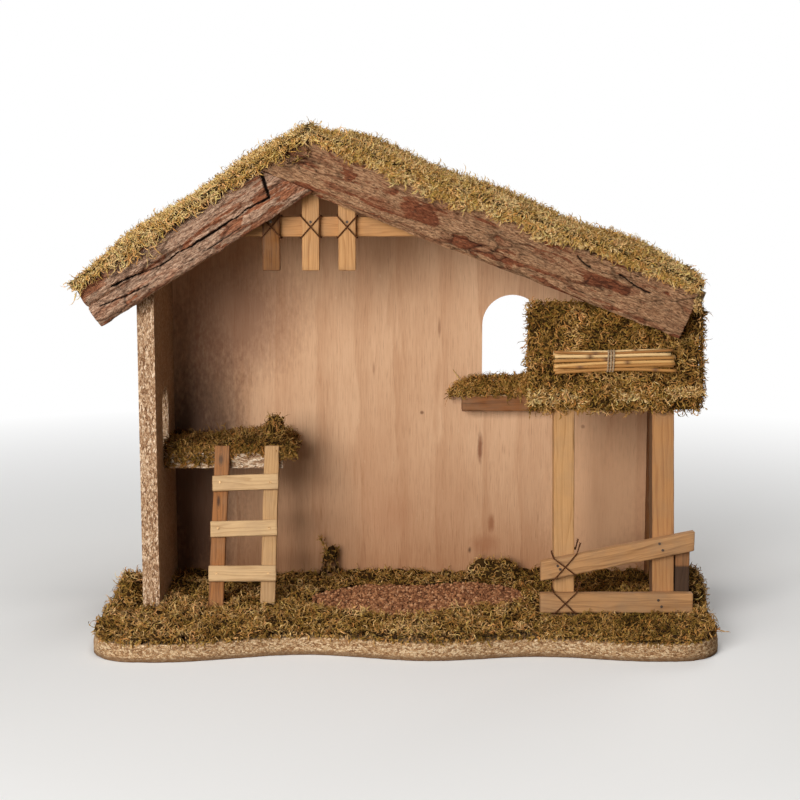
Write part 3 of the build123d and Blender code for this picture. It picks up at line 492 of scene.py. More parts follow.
# %% Noise helpers
def smooth_noise(points, size, seed):
    """Noise from -1 to 1 at each point, with lumps of the given size along each axis."""
    spot = points / np.asarray(size, float) + seed * 17.31
    cell = np.floor(spot)
    part = spot - cell
    part = part * part * (3 - 2 * part)
    cell = cell.astype(np.int64)
    total = np.zeros(len(points))
    for corner in product((0, 1), repeat=3):
        at = cell + np.array(corner)
        mixed = (at[:, 0] * 73856093) ^ (at[:, 1] * 19349663) ^ (at[:, 2] * 83492791)
        mixed = ((mixed ^ (mixed >> 15)) * 2246822519) & 0xFFFFFFFF
        mixed = ((mixed ^ (mixed >> 13)) * 3266489917) & 0xFFFFFFFF
        value = (mixed ^ (mixed >> 16)) / 0xFFFFFFFF * 2 - 1
        total += value * np.prod(np.where(np.array(corner) == 1, part, 1 - part), axis=1)
    return total


def lumps(points, size, seed, octaves=3):
    """Noise with finer noise on it."""
    total = np.zeros(len(points))
    for octave in range(octaves):
        finer = 2 ** octave
        total += smooth_noise(points, np.asarray(size, float) / finer, seed + 7 * octave) / finer
    return total


def cushions(points, size, seed):
    """Domes packed side by side: 1 at a dome's top, 0 between domes."""
    spot = points / size
    cell = np.floor(spot).astype(np.int64)
    nearest = np.full(len(points), 9.0)
    for step in product((-1, 0, 1), repeat=3):
        at = cell + np.array(step)
        jitter = [smooth_noise(at.astype(float) + 0.01, (1, 1, 1), seed + k) for k in range(3)]
        middle = np.stack(jitter, 1) * 0.5 + at + 0.5
        nearest = np.minimum(nearest, np.linalg.norm(spot - middle, axis=1))
    return np.clip(1 - nearest ** 2 / 0.75, 0, 1)


print("noise helpers ready")


# %% Mesh helpers
def unit(vectors):
    """Vectors of length one."""
    return vectors / np.maximum(np.linalg.norm(vectors, axis=-1, keepdims=True), 1e-9)


def net_faces(number):
    """Four-sided faces of a net, from the numbers of its points in rows."""
    corners = (number[:-1, :-1], number[1:, :-1], number[1:, 1:], number[:-1, 1:])
    return np.stack(corners, -1).reshape(-1, 4)


def ring_faces(number):
    """Four-sided faces between rings of points, each ring closed on itself."""
    after = np.roll(number, -1, 1)
    return np.stack((number[:-1], after[:-1], after[1:], number[1:]), -1).reshape(-1, 4)


def make_piece(name, points, faces, material, stands_for=(), values=None, smooth=True):
    """An object from points in millimetres and an array or list of faces."""
    mesh = bpy.data.meshes.new(name)
    if isinstance(faces, np.ndarray):
        count, size = faces.shape
        mesh.vertices.add(len(points))
        mesh.vertices.foreach_set("co", (points * MM).astype(np.float32).ravel())
        mesh.loops.add(count * size)
        mesh.loops.foreach_set("vertex_index", faces.astype(np.int32).ravel())
        mesh.polygons.add(count)
        mesh.polygons.foreach_set("loop_start", np.arange(0, count * size, size, dtype=np.int32))
        mesh.update(calc_edges=True)
    else:
        mesh.from_pydata((points * MM).tolist(), [], faces)
    for label, data in (values or {}).items():
        kind, field = ("FLOAT", "value") if data.ndim == 1 else ("FLOAT_VECTOR", "vector")
        mesh.attributes.new(label, kind, "POINT").data.foreach_set(field, data.astype(np.float32).ravel())
    mesh.polygons.foreach_set("use_smooth", np.full(len(mesh.polygons), smooth))
    mesh.materials.append(material)
    obj = bpy.data.objects.new(name, mesh)
    scene.collection.objects.link(obj)
    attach(obj, "root")
    if stands_for:
        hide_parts(*stands_for)
    return obj


def box_mm(node):
    """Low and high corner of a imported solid, in millimetres."""
    return [np.array(corner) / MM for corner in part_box(node)]


def mesh_points(mesh):
    """Points of a mesh, in millimetres."""
    co = np.zeros(len(mesh.vertices) * 3, np.float32)
    mesh.vertices.foreach_get("co", co)
    return co.reshape(-1, 3).astype(float) / MM


def solid_points(node):
    """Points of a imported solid, in millimetres."""
    return mesh_points(nodes[node].data)


def search_tree(*objects):
    """Search tree over the meshes of objects, in millimetres."""
    points, faces = [], []
    for obj in objects:
        start = len(points)
        points.extend(mesh_points(obj.data).tolist())
        faces.extend([[start + v for v in face.vertices] for face in obj.data.polygons])
    return BVHTree.FromPolygons(points, faces)


def solid_tree(*names):
    """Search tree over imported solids, in millimetres."""
    return search_tree(*[nodes[node] for node in names])


print("mesh helpers ready")

# %% [markdown]
# ## Laths
# The slats, the ladder, the posts and the fence are sawn laths: their edges are broken, their faces are a
# little rough and no two have the same tone. A cube would look too clean, so `lath` reads the eight corners
# of the imported solid, lays a fine net of points over that box, rounds and nicks its edges, roughens its
# faces, and keeps the place along the grain at each point for the wood finish. The finish darkens the left
# face of the right post as painted shade, makes the top face of the sill paler, and darkens the fence stub
# below a height as painted shade. Grey weathering and dark, handled edges are on all of them, so that wear
# is a group.

# %% Group: worn wood
worn_inputs = {"Coordinates": ORIGIN, "Color": WHITE, "Dark": WHITE, "Edge": 0.0, "Weathered": 0.25}
worn_wood, given, gives = group("worn_wood", worn_inputs, {"Color": "Color"})
tree = worn_wood
cloud = noise_value(tree, given["Coordinates"], 0.06)
colour = blend(tree, span(tree, cloud, 0.4, 0.7, 0.0, given["Weathered"]), given["Color"], tone("8b735a"))
worn = times(tree, given["Edge"], span(tree, cloud, 0.3, 0.6, 0.1, 0.5))
join(tree, blend(tree, worn, colour, given["Dark"]), gives["Color"])
print("group", worn_wood.name)


# %% Lath finish
def lath_finish(name, light, dark, band=2.4, streaks=0.4, knots=(), weathered=0.25, side=None, foot=None):
    """Softwood; knots are (middle, reach), side is (direction, tone) for a tinted face, foot is (height, tone) for
    painted shade below it.
    """
    material, tree, shader = finish(name, 0.75, 0.3)
    light, dark = tone(light), tone(dark)
    grain = use(tree, wood_grain, {"Coordinates": attribute(tree, "grain", "Vector"), "Light": light,
                                   "Dark": dark, "Band Width": band, "Streaks": streaks})
    place = place_mm(tree)
    colour = grain["Color"]
    for middle, reach in knots:
        knot = use(tree, ragged_spot, {"Coordinates": place, "Middle": middle, "Reach": reach, "Ragged": 0.25})
        colour = blend(tree, span(tree, knot["Rings"], -1.0, 1.0, 0.0, 0.4), colour, dark)
        colour = blend(tree, times(tree, knot["Mask"], 0.9), colour, tone("3b2314"))
    colour = use(tree, worn_wood, {"Coordinates": place, "Color": colour, "Dark": dark,
                                   "Edge": attribute(tree, "edge"), "Weathered": weathered})["Color"]
    if side:
        on_side = span(tree, facing(tree, side[0]), 0.55, 0.85, 0.0, 0.8)
        colour = blend(tree, on_side, colour, tone(side[1]))
    if foot:
        # Painted shade: below the foot height the lath darkens towards the foot tone.
        shade_below = span(tree, height_in(tree, place), foot[0] + 1.2, foot[0] - 0.4, 0.0, 0.85)
        colour = blend(tree, shade_below, colour, tone(foot[1]))
    join(tree, colour, shader["Base Color"])
    join(tree, span(tree, grain["Height"], 0.2, 0.8, 0.85, 0.62), shader["Roughness"])
    bumped(tree, shader, grain["Height"], 0.45, 0.0005)
    return material


stile_knots = (((-130.2, 21, 117), (2.4, 8, 5)), ((-131.5, 12, 88), (1.6, 8, 6)))
post_knots = (((184.6, -16, 158), (4.2, 9, 3.6)),)
honey = lath_finish("lath_honey", "c99864", "9b683a")
# Amber is the honey slat wood darkened: painted shade for the left slat, which stands in shadow. The corner batten
# uses the same finish.
amber = lath_finish("lath_amber", "80501f", "43200c", 2.6, 1.0)
bar_wood = lath_finish("lath_bar", "c6915b", "956236", 3.0)
rust_stile = lath_finish("lath_rust", "bd7c42", "5f3a20", 3.2, 0.9, stile_knots)
khaki = lath_finish("lath_khaki", "d0ac7e", "a17a4f", 2.6, 0.25)
tan_stile = lath_finish("lath_stile", "c29969", "966c41", 2.6, 0.35)
post_pale = lath_finish("lath_post_pale", "c79865", "a37241", 4.5, 0.3)
# The right post's left face is darkened towards 4a3221: painted shade.
post_tan = lath_finish("lath_post_tan", "c08d59", "925f36", 4.0, 0.35, post_knots, side=((-1, 0, 0), "4a3221"))
rail_wood = lath_finish("lath_rail", "bf8e5d", "835a35", 3.4, 0.55, weathered=0.45)
# The fence stub darkens below 46.5 mm: painted shade on its lower part, behind the rails.
stained = lath_finish("lath_stained", "97653a", "5f3a1e", 3.0, 0.6, weathered=0.35, foot=(46.5, "241a13"))
sill_wood = lath_finish("lath_sill", "925c31", "5b3419", 3.0, 0.6, weathered=0.35, side=((0, 0, 1), "f2c690"))
print("lath finishes ready")


# %% Lath net
def lath_corners(node, pull=(1, 1, 1)):
    """The eight outer corners of a lath, by low or high along X, Y and Z; pull weighs the three axes."""
    points = solid_points(node)
    corners = np.zeros((2, 2, 2, 3))
    for side in product((0, 1), repeat=3):
        corners[side] = points[np.argmax(points @ ((np.array(side) * 2 - 1) * pull))]
    return corners


def stations(length, step, rim):
    """Net lines along one edge: close together at the rounded ends, even between."""
    inner = np.linspace(rim, length - rim, max(2, int(round(length / step)) + 1))
    return np.concatenate(([0, rim * 0.3], inner, [length - rim * 0.3, length]))


def box_net(sizes, steps, rim):
    """Points and faces of a box's surface, shared along its edges."""
    lines = [stations(size, step, rim) for size, step in zip(sizes, steps)]
    points, faces, start = [], [], 0
    for axis, side in product(range(3), (0, 1)):
        first, second = [k for k in range(3) if k != axis]
        a, b = np.meshgrid(lines[first], lines[second], indexing="ij")
        sheet = np.zeros(a.shape + (3,))
        sheet[..., first], sheet[..., second], sheet[..., axis] = a, b, side * sizes[axis]
        quads = net_faces(start + np.arange(a.size).reshape(a.shape))
        if (side == 1) == (axis == 1):
            quads = quads[:, ::-1]
        points.append(sheet.reshape(-1, 3))
        faces.append(quads)
        start += a.size
    points, faces = np.concatenate(points), np.concatenate(faces)
    microns = np.round(points * 1000).astype(np.int64)
    first_at, same = np.unique(microns, axis=0, return_index=True, return_inverse=True)[1:]
    return points[first_at], same.ravel()[faces]


print("lath net ready")


# %% Lath builder
def lath(node, along, material, seed, pull):
    """A sawn lath in the place of a packed one; along is the axis that its grain follows."""
    rim, roughness, nick_depth = 0.7, 0.16, 0.7
    corners = np.moveaxis(lath_corners(node, pull), along, 0)
    edges = np.stack((corners[1, 0, 0], corners[0, 1, 0], corners[0, 0, 1])) - corners[0, 0, 0]
    sizes = np.array([np.linalg.norm(edge) for edge in edges])
    flat, faces = box_net(sizes, (2.2, 1.5, 1.5), rim)
    inner = np.clip(flat, rim, sizes - rim)
    outward = unit(flat - inner)
    on_edge = (np.abs(flat - inner) > 1e-6).sum(1) > 1
    shaped = inner + outward * rim
    nick = np.maximum(smooth_noise(flat, (5, 3, 3), seed), 0) ** 2
    shaped -= outward * (nick * on_edge * nick_depth)[:, None]
    shaped += outward * (lumps(flat, (14, 2.6, 2.6), seed + 3) * roughness)[:, None]
    part = shaped / sizes
    points = np.zeros_like(flat)
    for side in product((0, 1), repeat=3):
        weight = np.prod(np.where(np.array(side) == 1, part, 1 - part), axis=1)
        points += weight[:, None] * corners[side]
    if np.linalg.det(edges) < 0:
        faces = faces[:, ::-1]
    values = {"grain": flat + seed * 61.7, "edge": on_edge.astype(float)}
    return make_piece(node + "_sawn", points, faces, material, (node,), values)


# %% Laths of the gable, the ladder, the loft and the fence
X, Z = 0, 2
lath_table = (
    ("gable_slat_left", Z, amber), ("gable_slat_middle", Z, honey), ("gable_slat_right", Z, honey),
    ("gable_tie_bar", X, bar_wood), ("ladder_stile_left", Z, rust_stile), ("ladder_stile_right", Z, tan_stile),
    ("ladder_rung_1", X, khaki), ("ladder_rung_2", X, khaki), ("ladder_rung_3", X, khaki),
    ("middle_post", Z, post_pale), ("right_post", Z, post_tan),
    ("lower_fence_rail", X, rail_wood), ("upper_fence_rail", X, rail_wood),
    ("fence_stub", Z, stained), ("corner_batten", Z, amber), ("window_sill", X, sill_wood),
)
dark_laths, mitred = ("fence_stub", "corner_batten", "window_sill"), {"gable_tie_bar": (0.3, 1, 1)}
laths = [
    lath(node, along, material, seed, mitred.get(node, (1, 1, 1)))
    for seed, (node, along, material) in enumerate(lath_table, 1)
]
print("laths", len(laths), "faces", sum(len(o.data.polygons) for o in laths))

# %% [markdown]
# ## Base board
# The base is chipboard cut by hand in a wavy line. Its top edge is knocked off and crumbly, which is what
# the light catches along the front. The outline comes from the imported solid; rows of points go round it, and
# the upper rows step inwards and are chipped by noise.


# %% Worn base board
def run_along(line):
    """Length along a line at each of its points."""
    return np.concatenate(([0], np.cumsum(np.linalg.norm(np.diff(line, axis=0), axis=1))))


def outline_of(node, height):
    """Outline of an upright solid at a height, in order round its middle."""
    points = solid_points(node)
    ring = np.unique(np.round(points[np.abs(points[:, 2] - height) < 0.01][:, :2], 3), axis=0)
    middle = (ring.min(0) + ring.max(0)) / 2
    return ring[np.argsort(np.arctan2(ring[:, 1] - middle[1], ring[:, 0] - middle[0]))]


def even_line(line, step, closed=False):
    """A line, or an outline closed on itself, in even steps; returns the points and the length."""
    line = np.vstack((line, line[:1])) if closed else line
    run = run_along(line)
    at = np.linspace(0, run[-1], max(4, int(run[-1] / step)), endpoint=not closed)
    return np.stack([np.interp(at, run, axis) for axis in line.T], 1), run[-1]


base_ring, base_length = even_line(outline_of("base_board", 0.0), 1.5, closed=True)
forward = np.roll(base_ring, -1, 0) - np.roll(base_ring, 1, 0)
outwards = unit(np.stack((forward[:, 1], -forward[:, 0]), 1))
levels = (0.0, 0.7, 2.2, 4.0, 6.0, 8.0, 9.4, 10.5, 11.3, 11.8, 12.0)
insets = (0.7, 0.0, 0.0, 0.0, 0.0, 0.1, 0.3, 0.5, 0.9, 1.4, 2.0)
chips_from = 5
rows = []
for level, inset in zip(levels, insets):
    row = np.column_stack((base_ring, np.full(len(base_ring), level)))
    crumbs = lumps(row, (5, 5, 2.5), 3) * 0.35
    chips = np.maximum(smooth_noise(row, (14, 14, 6), 9), 0) * 0.5 * (level > chips_from)
    wear = inset * (0.7 + 0.5 * smooth_noise(row, (22, 22, 22), 5)) + np.maximum(crumbs + chips, -0.2)
    row[:, :2] -= outwards * wear[:, None]
    rows.append(row)
base_points = np.concatenate(rows)
base_numbers = np.arange(len(base_points)).reshape(len(levels), -1)
base_faces = [tuple(face) for face in ring_faces(base_numbers).tolist()]
base_faces += [tuple(base_numbers[0, ::-1].tolist()), tuple(base_numbers[-1].tolist())]
make_piece("base_board_worn", base_points, base_faces, base_finish, ("base_board",))
print("base board faces", len(base_faces), "length round it", round(base_length))

# %% [markdown]
# ## Bark slabs
# The two slabs are halves of a bark strip, the right one nailed over the end of the left one. Their fronts
# have long furrows, plates that crack across, and layers that have flaked off and show red wood below. A
# displaced net follows the imported slab: its own thickness comes from the solid, then cracks, plates and
# flakes are cut into it. The depth and the layer are kept at each point, because colour follows them: grey
# and weathered on top, red-brown where a layer is gone, and painted shade, nearly black, in the cracks and
# between the plates. The left slab is greyer than the right one, so the layers are a group that takes three
# grey and three red tones.

# %% Group: bark layers
GREYS, REDS = ("Grey Dark", "Grey", "Grey Pale"), ("Red Dark", "Red", "Red Pale")
bark_inputs = {"Coordinates": ORIGIN, "Layer": 0.0, "Hollow": 0.0, "Red Share": 0.5}
bark_inputs.update({label: WHITE for label in GREYS + REDS})
bark_layers, given, gives = group("bark_layers", bark_inputs, COLOUR_AND_HEIGHT)
tree, slab_way = bark_layers, given["Coordinates"]
fibre = noise_value(tree, slab_way, (0.26, 1.0, 0.6), 7.0, 0.74)
patch = noise_value(tree, slab_way, (0.035, 0.1, 0.1), 4.0)
speck = noise_value(tree, slab_way, (0.4, 1.0, 0.9), 4.0, 0.65)
split = noise_value(tree, slab_way, (0.06, 0.6, 0.5), 4.0, 0.65, 0.6)
grey = stepped(tree, fibre, (0.33, 0.48, 0.63), [given[label] for label in GREYS])
red = stepped(tree, fibre, (0.33, 0.5, 0.66), [given[label] for label in REDS])
shown = weighed(tree, (given["Layer"], 1), (patch, 0.9))
red_end = math_node(tree, "ADD", given["Red Share"], 0.3)
colour = blend(tree, span(tree, shown, given["Red Share"], red_end), red, grey)
colour = blend(tree, span(tree, speck, 0.53, 0.66, 0.0, 0.75), colour, tone("452d20"))
off_middle = math_node(tree, "ABSOLUTE", math_node(tree, "SUBTRACT", split, 0.5))
colour = blend(tree, span(tree, off_middle, 0.0, 0.02, 0.8, 0.0), colour, tone("301d13"))
# Painted shade: points deep in a crack or along a plate seam are darkened nearly to black.
colour = blend(tree, span(tree, given["Hollow"], 0.15, 0.9), colour, tone("22150d"))
join(tree, colour, gives["Color"])
join(tree, weighed(tree, (fibre, 1), (speck, -0.6)), gives["Height"])
print("group", bark_layers.name)


# %% Bark finish
def bark_finish(name, greys, reds, red_share):
    """Bark in one mix of weathered and fresh tones; a larger red share shows more of the layer below."""
    material, tree, shader = finish(name, 0.9, 0.15)
    inputs = dict(zip(GREYS + REDS, palette(greys) + palette(reds)))
    inputs.update({"Coordinates": attribute(tree, "slab", "Vector"), "Layer": attribute(tree, "layer"),
                   "Hollow": attribute(tree, "hollow"), "Red Share": red_share})
    bark = use(tree, bark_layers, inputs)
    join(tree, bark["Color"], shader["Base Color"])
    bumped(tree, shader, bark["Height"], 1.0, 0.0014)
    return material


grey_bark = bark_finish("bark_grey", "785847 b28b70 e0bea1", "6b3d2a 9c6143 c98b64", 0.5)
brown_bark = bark_finish("bark_brown", "745039 ab7f5c d3a880", "582e1d 854b31 aa6d4b", 0.62)
print("bark finishes ready")


# %% Bark net
def slab_net(node, way, rise, step=0.8, step_up=0.55, inset=0.004):
    """Net over a packed slab: places along and up it, share of its height, own depth, and their measures."""
    points = solid_points(node)
    along, up = points @ way, points @ rise
    low, tall, back = up.min(), up.max() - up.min(), points[:, 1].max()
    mix = [(np.argmin(along + up), np.argmax(along - up)), (np.argmin(along - up), np.argmax(along + up))]
    left, right = [along[pair[0]] for pair in mix], [along[pair[1]] for pair in mix]
    count = int((max(right) - min(left)) / step)
    lines = np.linspace(0, 1, count), np.linspace(0, 1, int(tall / step_up))
    share, height = np.meshgrid(*lines, indexing="ij")
    start, end = left[0] + (left[1] - left[0]) * height, right[0] + (right[1] - right[0]) * height
    u = start + (end - start) * share
    v = low + tall * np.clip(height, inset, 1 - inset)
    tree = solid_tree(node)
    deep = np.zeros(u.shape)
    for i, j in np.ndindex(u.shape):
        inward = min(max(share[i, j], inset), 1 - inset)
        spot = way * (start[i, j] + (end[i, j] - start[i, j]) * inward) + rise * v[i, j]
        hit = tree.ray_cast(Vector((spot[0], back - 60, spot[2])), Vector((0, 1, 0)))[0]
        deep[i, j] = back - hit.y if hit else deep[i - 1, j]
    flat = np.column_stack((u.ravel() - min(left), v.ravel() - low, np.zeros(u.size)))
    return u, v, height.ravel(), deep.ravel(), flat, tall, back


def bark_plates(flat, warp, tall, plate, seed, most=900):
    """How near each point lies to the border of its plate, and its plate's own number from 0 to 1."""
    rng = np.random.default_rng(seed)
    length = flat[:, 0].max()
    spread = np.column_stack((rng.uniform(-10, length + 10, most) / plate[0],
                              rng.uniform(-5, tall + 5, most) / plate[1], np.zeros(most)))
    filled = min(1.0, length * tall / (plate[0] * plate[1] * 300))
    cells = KDTree(most)
    for number in rng.permutation(most)[: int(most * filled)]:
        cells.insert(spread[number], int(number))
    cells.balance()
    own = rng.uniform(0, 1, most)
    seat = np.column_stack(((flat[:, 0] + warp * 2) / plate[0], (flat[:, 1] + warp) / plate[1], flat[:, 2]))
    gap, kind = np.zeros(len(flat)), np.zeros(len(flat))
    for number, spot in enumerate(seat):
        first, second = cells.find_n(Vector(spot), 2)
        gap[number] = second[2] - first[2]
        kind[number] = own[first[1]]
    return gap, kind


def line_depth(along, up, route, width):
    """How far inside a crack each point lies: 1 on its line, 0 a width away."""
    best = np.full(len(along), 1e9)
    for (x0, y0), (x1, y1) in zip(route, route[1:]):
        dx, dy = x1 - x0, y1 - y0
        t = np.clip(((along - x0) * dx + (up - y0) * dy) / (dx * dx + dy * dy), 0, 1)
        best = np.minimum(best, np.hypot(along - x0 - t * dx, up - y0 - t * dy))
    return np.clip(1 - best / width, 0, 1)


def crack_depth(flat, cracks, seed):
    """Depth of the named cracks, which wander and vary in width; each is (route, width, depth)."""
    cut = np.zeros(len(flat))
    wander = lumps(flat, (16, 60, 5), seed + 31) * 1.3
    vary = 0.75 + 0.55 * smooth_noise(flat, (15, 40, 5), seed + 35)
    for route, width, depth in cracks:
        inside = line_depth(flat[:, 0], flat[:, 1] + wander, route, width * vary)
        cut = np.maximum(cut, np.sqrt(inside) * depth)
    return cut


def bare_share(flat, warp, bare):
    """Share of the outer layer that is gone at each point; a bare place is (middle, reach)."""
    gone = np.zeros(len(flat))
    for middle, reach in bare:
        away = np.hypot((flat[:, 0] + warp * 2 - middle[0]) / reach[0], (flat[:, 1] + warp - middle[1]) / reach[1])
        gone = np.maximum(gone, np.clip((1 - away) / 0.2, 0, 1))
    return gone


print("bark net ready")


# %% Bark builder
def bark_slab(node, pitch, seed, cracks, plate, material, bare=()):
    """A bark slab over a packed one: furrows, plates, flaked layers and cracks on its own thickness."""
    way, rise = slope_ways(pitch)
    u, v, height, deep, flat, tall, back = slab_net(node, way, rise)
    warp = lumps(flat, (9, 6, 5), seed + 20) * 1.6
    gap, kind = bark_plates(flat, warp, tall, plate, seed)
    cut, gone = crack_depth(flat, cracks, seed), bare_share(flat, warp, bare)
    seam = np.clip(1 - gap / 0.16, 0, 1) * np.clip(0.55 + smooth_noise(flat, (24, 10, 5), seed + 5), 0, 1)
    ledge = lumps(flat, (52, 9, 5), seed + 11, 4) * 2.6 + 0.8 * (kind - 0.5)
    flaked = np.floor(ledge) + np.clip((ledge - np.floor(ledge)) / 0.12, 0, 1) - gone * 0.8
    layers = np.mod(np.floor(ledge) * 0.618 + seed * 0.37, 1.0) * (1 - 0.75 * gone)
    furrows, grit = lumps(flat, (46, 2.6, 5), seed, 4) * 0.75, lumps(flat, (7, 1.2, 5), seed + 41) * 0.35
    relief = furrows + (kind - 0.5) * 0.8 - seam * 0.9 + flaked * 0.75 - cut + grit
    edge_fade = np.clip(np.minimum(height, 1 - height) * tall / 2.0, 0.25, 1)
    thick = np.maximum(deep + relief * edge_fade + 0.4, 1.2)
    sag = np.where(height < 0.02, lumps(flat, (12, 5, 5), seed + 51) * 0.7, 0)
    face = way[None] * u.ravel()[:, None] + rise[None] * (v.ravel() + sag)[:, None]
    face[:, 1] = back - thick
    number = np.arange(u.size).reshape(u.shape)
    edge = np.concatenate((number[:, 0], number[-1, 1:], number[-2::-1, -1], number[0, -2:0:-1]))
    rear = face[edge]
    rear[:, 1] = back
    rear_number = u.size + np.arange(len(edge))
    rim = np.stack((edge, rear_number, np.roll(rear_number, -1), np.roll(edge, -1)), -1)
    faces = [tuple(f) for f in np.concatenate((net_faces(number), rim)).tolist()] + [tuple(rear_number.tolist())]
    # The hollow value carries the painted shade in the cracks and along the plate seams.
    hollow = np.clip(cut / 2.2 + seam * 0.65, 0, 1)
    layer = np.clip(layers * 0.9 + (kind - 0.5) * 0.3, 0, 1)
    values = {"slab": np.concatenate((flat, flat[edge] + (0, 0, 9))) + seed * 31.0,
              "hollow": np.concatenate((hollow, np.zeros(len(edge)))),
              "layer": np.concatenate((layer, np.full(len(edge), 0.3)))}
    slab = make_piece(node + "_rough", np.concatenate((face, rear)), faces, material, (node,), values)
    print(node, "points", len(slab.data.vertices), "length", round(float(flat[:, 0].max()), 1))
    return slab


# %% [markdown]
# The longer cracks of each slab follow the photograph: every route is a row of points along and up the slab,
# with the crack's width and depth. On the right slab the outer layer is gone in four places.

# %% The two slabs
left_cracks = (
    (((22.6, 18.9), (45, 15.5), (70, 13.5), (90.6, 12.3), (129, 13.3), (146.3, 11.9)), 0.95, 5.0),
    (((146.3, 11.9), (148, 18), (150.7, 27.7)), 1.1, 4.0),
    (((7.5, 11.8), (24.3, 8.9), (38, 6.5), (46.6, 5.7)), 0.7, 2.6),
    (((60, 5.0), (88, 4.2), (120, 5.6)), 0.5, 1.4),
    (((100, 22), (118, 20.5), (134, 22)), 0.5, 1.2),
)
right_cracks = (
    (((226, 27.7), (232, 25.0), (237, 23.7)), 0.9, 3.0),
    (((258, 26.1), (270, 24.6), (282, 22.7)), 0.9, 3.0),
    (((120, 9.5), (150, 10.5), (182, 9.0)), 0.5, 1.4),
    (((196, 7.0), (230, 6.0), (262, 7.5)), 0.5, 1.4),
    (((60, 4.5), (96, 5.2), (120, 4.4)), 0.5, 1.2),
    (((268.5, 30.8), (270.5, 30.8)), 0.9, 2.5),
)
right_bare = (((114, 15.5), (18, 6.0)), ((160, 8.0), (34, 4.5)), ((84, 22.5), (13, 3.5)), ((258, 18), (20, 4.0)))
left_slab = bark_slab("left_bark_slab", LEFT_PITCH, 3, left_cracks, (26.0, 9.0), grey_bark)
right_slab = bark_slab("right_bark_slab", RIGHT_PITCH, 8, right_cracks, (24.0, 8.0), brown_bark, right_bare)

# %% [markdown]
# ## Twine lashings
# A thin dark twine crosses over each slat and over the middle post, and goes round the back. It is two-ply,
# so two small strands are twisted round each other. The route's points are the corners that the twine is
# pulled over, written twice close together because twine turns sharply on a lath; a NURBS line runs through
# them, and the strands follow points read from that line.


# %% Lines and tubes
def smooth_route(points):
    """Points along a NURBS line that has these points as its control points."""
    curve = bpy.data.curves.new("route", "CURVE")
    curve.dimensions = "3D"
    spline = curve.splines.new("NURBS")
    spline.points.add(len(points) - 1)
    for control, place in zip(spline.points, points):
        control.co = (*place, 1.0)
    spline.order_u = 3
    spline.use_endpoint_u = True
    spline.resolution_u = 6
    holder = bpy.data.objects.new("route", curve)
    mesh = bpy.data.meshes.new_from_object(holder)
    line = np.array([v.co for v in mesh.vertices])
    bpy.data.objects.remove(holder)
    bpy.data.curves.remove(curve)
    bpy.data.meshes.remove(mesh)
    return line


def side_frames(line):
    """Two directions across the line at each point, carried along without twisting."""
    ahead = unit(np.gradient(line, axis=0))
    side = np.zeros_like(line)
    side[0] = unit(np.cross(ahead[0], (0.31, 0.52, 0.79)))
    for at in range(1, len(line)):
        side[at] = unit(side[at - 1] - ahead[at] * (side[at - 1] @ ahead[at]))
    return side, np.cross(ahead, side)


def tube(line, radius, sides):
    """Points and faces of a round tube along a line, open at its ends."""
    first, second = side_frames(line)
    turn = np.linspace(0, 2 * math.pi, sides, endpoint=False)
    radius = np.broadcast_to(radius, (len(line),))
    ring = first[:, None] * np.cos(turn)[None, :, None] + second[:, None] * np.sin(turn)[None, :, None]
    points = (line[:, None] + ring * radius[:, None, None]).reshape(-1, 3)
    return points, ring_faces(np.arange(len(points)).reshape(len(line), sides))


def gather(parts):
    """Several sets of points and faces as one."""
    points, faces, start = [], [], 0
    for part_points, part_faces in parts:
        points.append(part_points)
        faces.append(part_faces + start)
        start += len(part_points)
    return np.concatenate(points), np.concatenate(faces)


def plies(line, radius, lay, strands=2, sides=6, fray=0.0):
    """Twisted strands round a line; lay is the length of one turn, fray opens the ends."""
    first, second = side_frames(line)
    run = run_along(line)
    parts = []
    for strand in range(strands):
        turn = 2 * math.pi * (run / lay + strand / strands)
        off = radius * (0.5 + fray * np.clip(1 - np.minimum(run, run[-1] - run) / 4.0, 0, 1))
        centre = line + (first * np.cos(turn)[:, None] + second * np.sin(turn)[:, None]) * off[:, None]
        parts.append(tube(centre, radius * 0.56, sides))
    return gather(parts)


def pulled(corners, hold=0.9):
    """Control points of a tight winding: a pair close to each corner, on its two runs."""
    corners = np.array(corners, float)
    points = [corners[0]]
    for before, corner, after in zip(corners, corners[1:], corners[2:]):
        for other in (before, after):
            reach = np.linalg.norm(other - corner)
            points.append(corner + (other - corner) * min(hold / reach, 0.4))
    return np.array(points + [corners[-1]])


print("line helpers ready")

# %% Twine finish
twine_finish, tree, shader = finish("twine", 0.9, 0.1)
lint = noise_value(tree, place_mm(tree), 1.2, 4.0)
join(tree, ramp(tree, lint, (0.3, 0.55, 0.75), palette("3a2114 5e3a22 86593a")), shader["Base Color"])
bumped(tree, shader, lint, 0.7, 0.0002)
print("twine finish ready")


# %% Lashings
def slat_lashing(slat, room=0.8, over=1.0):
    """Corners of the twine round a slat and the bar behind it; the second pass lies over the first."""
    low, high = box_mm("gable_slat_" + slat)
    bar_low, bar_high = box_mm("gable_tie_bar")
    left, right, front, back = low[0] - room, high[0] + room, low[1] - room, bar_high[1] + room
    foot, head = bar_low[2] - room, bar_high[2] + room
    middle = (foot + head) / 2
    return [(left, back, middle - 2), (left, back, foot), (left, front, foot), (right, front, head),
            (right, back, head), (right, back, foot), (right, front - over, foot), (left, front - over, head),
            (left, back, head), (left, back, middle + 2)]


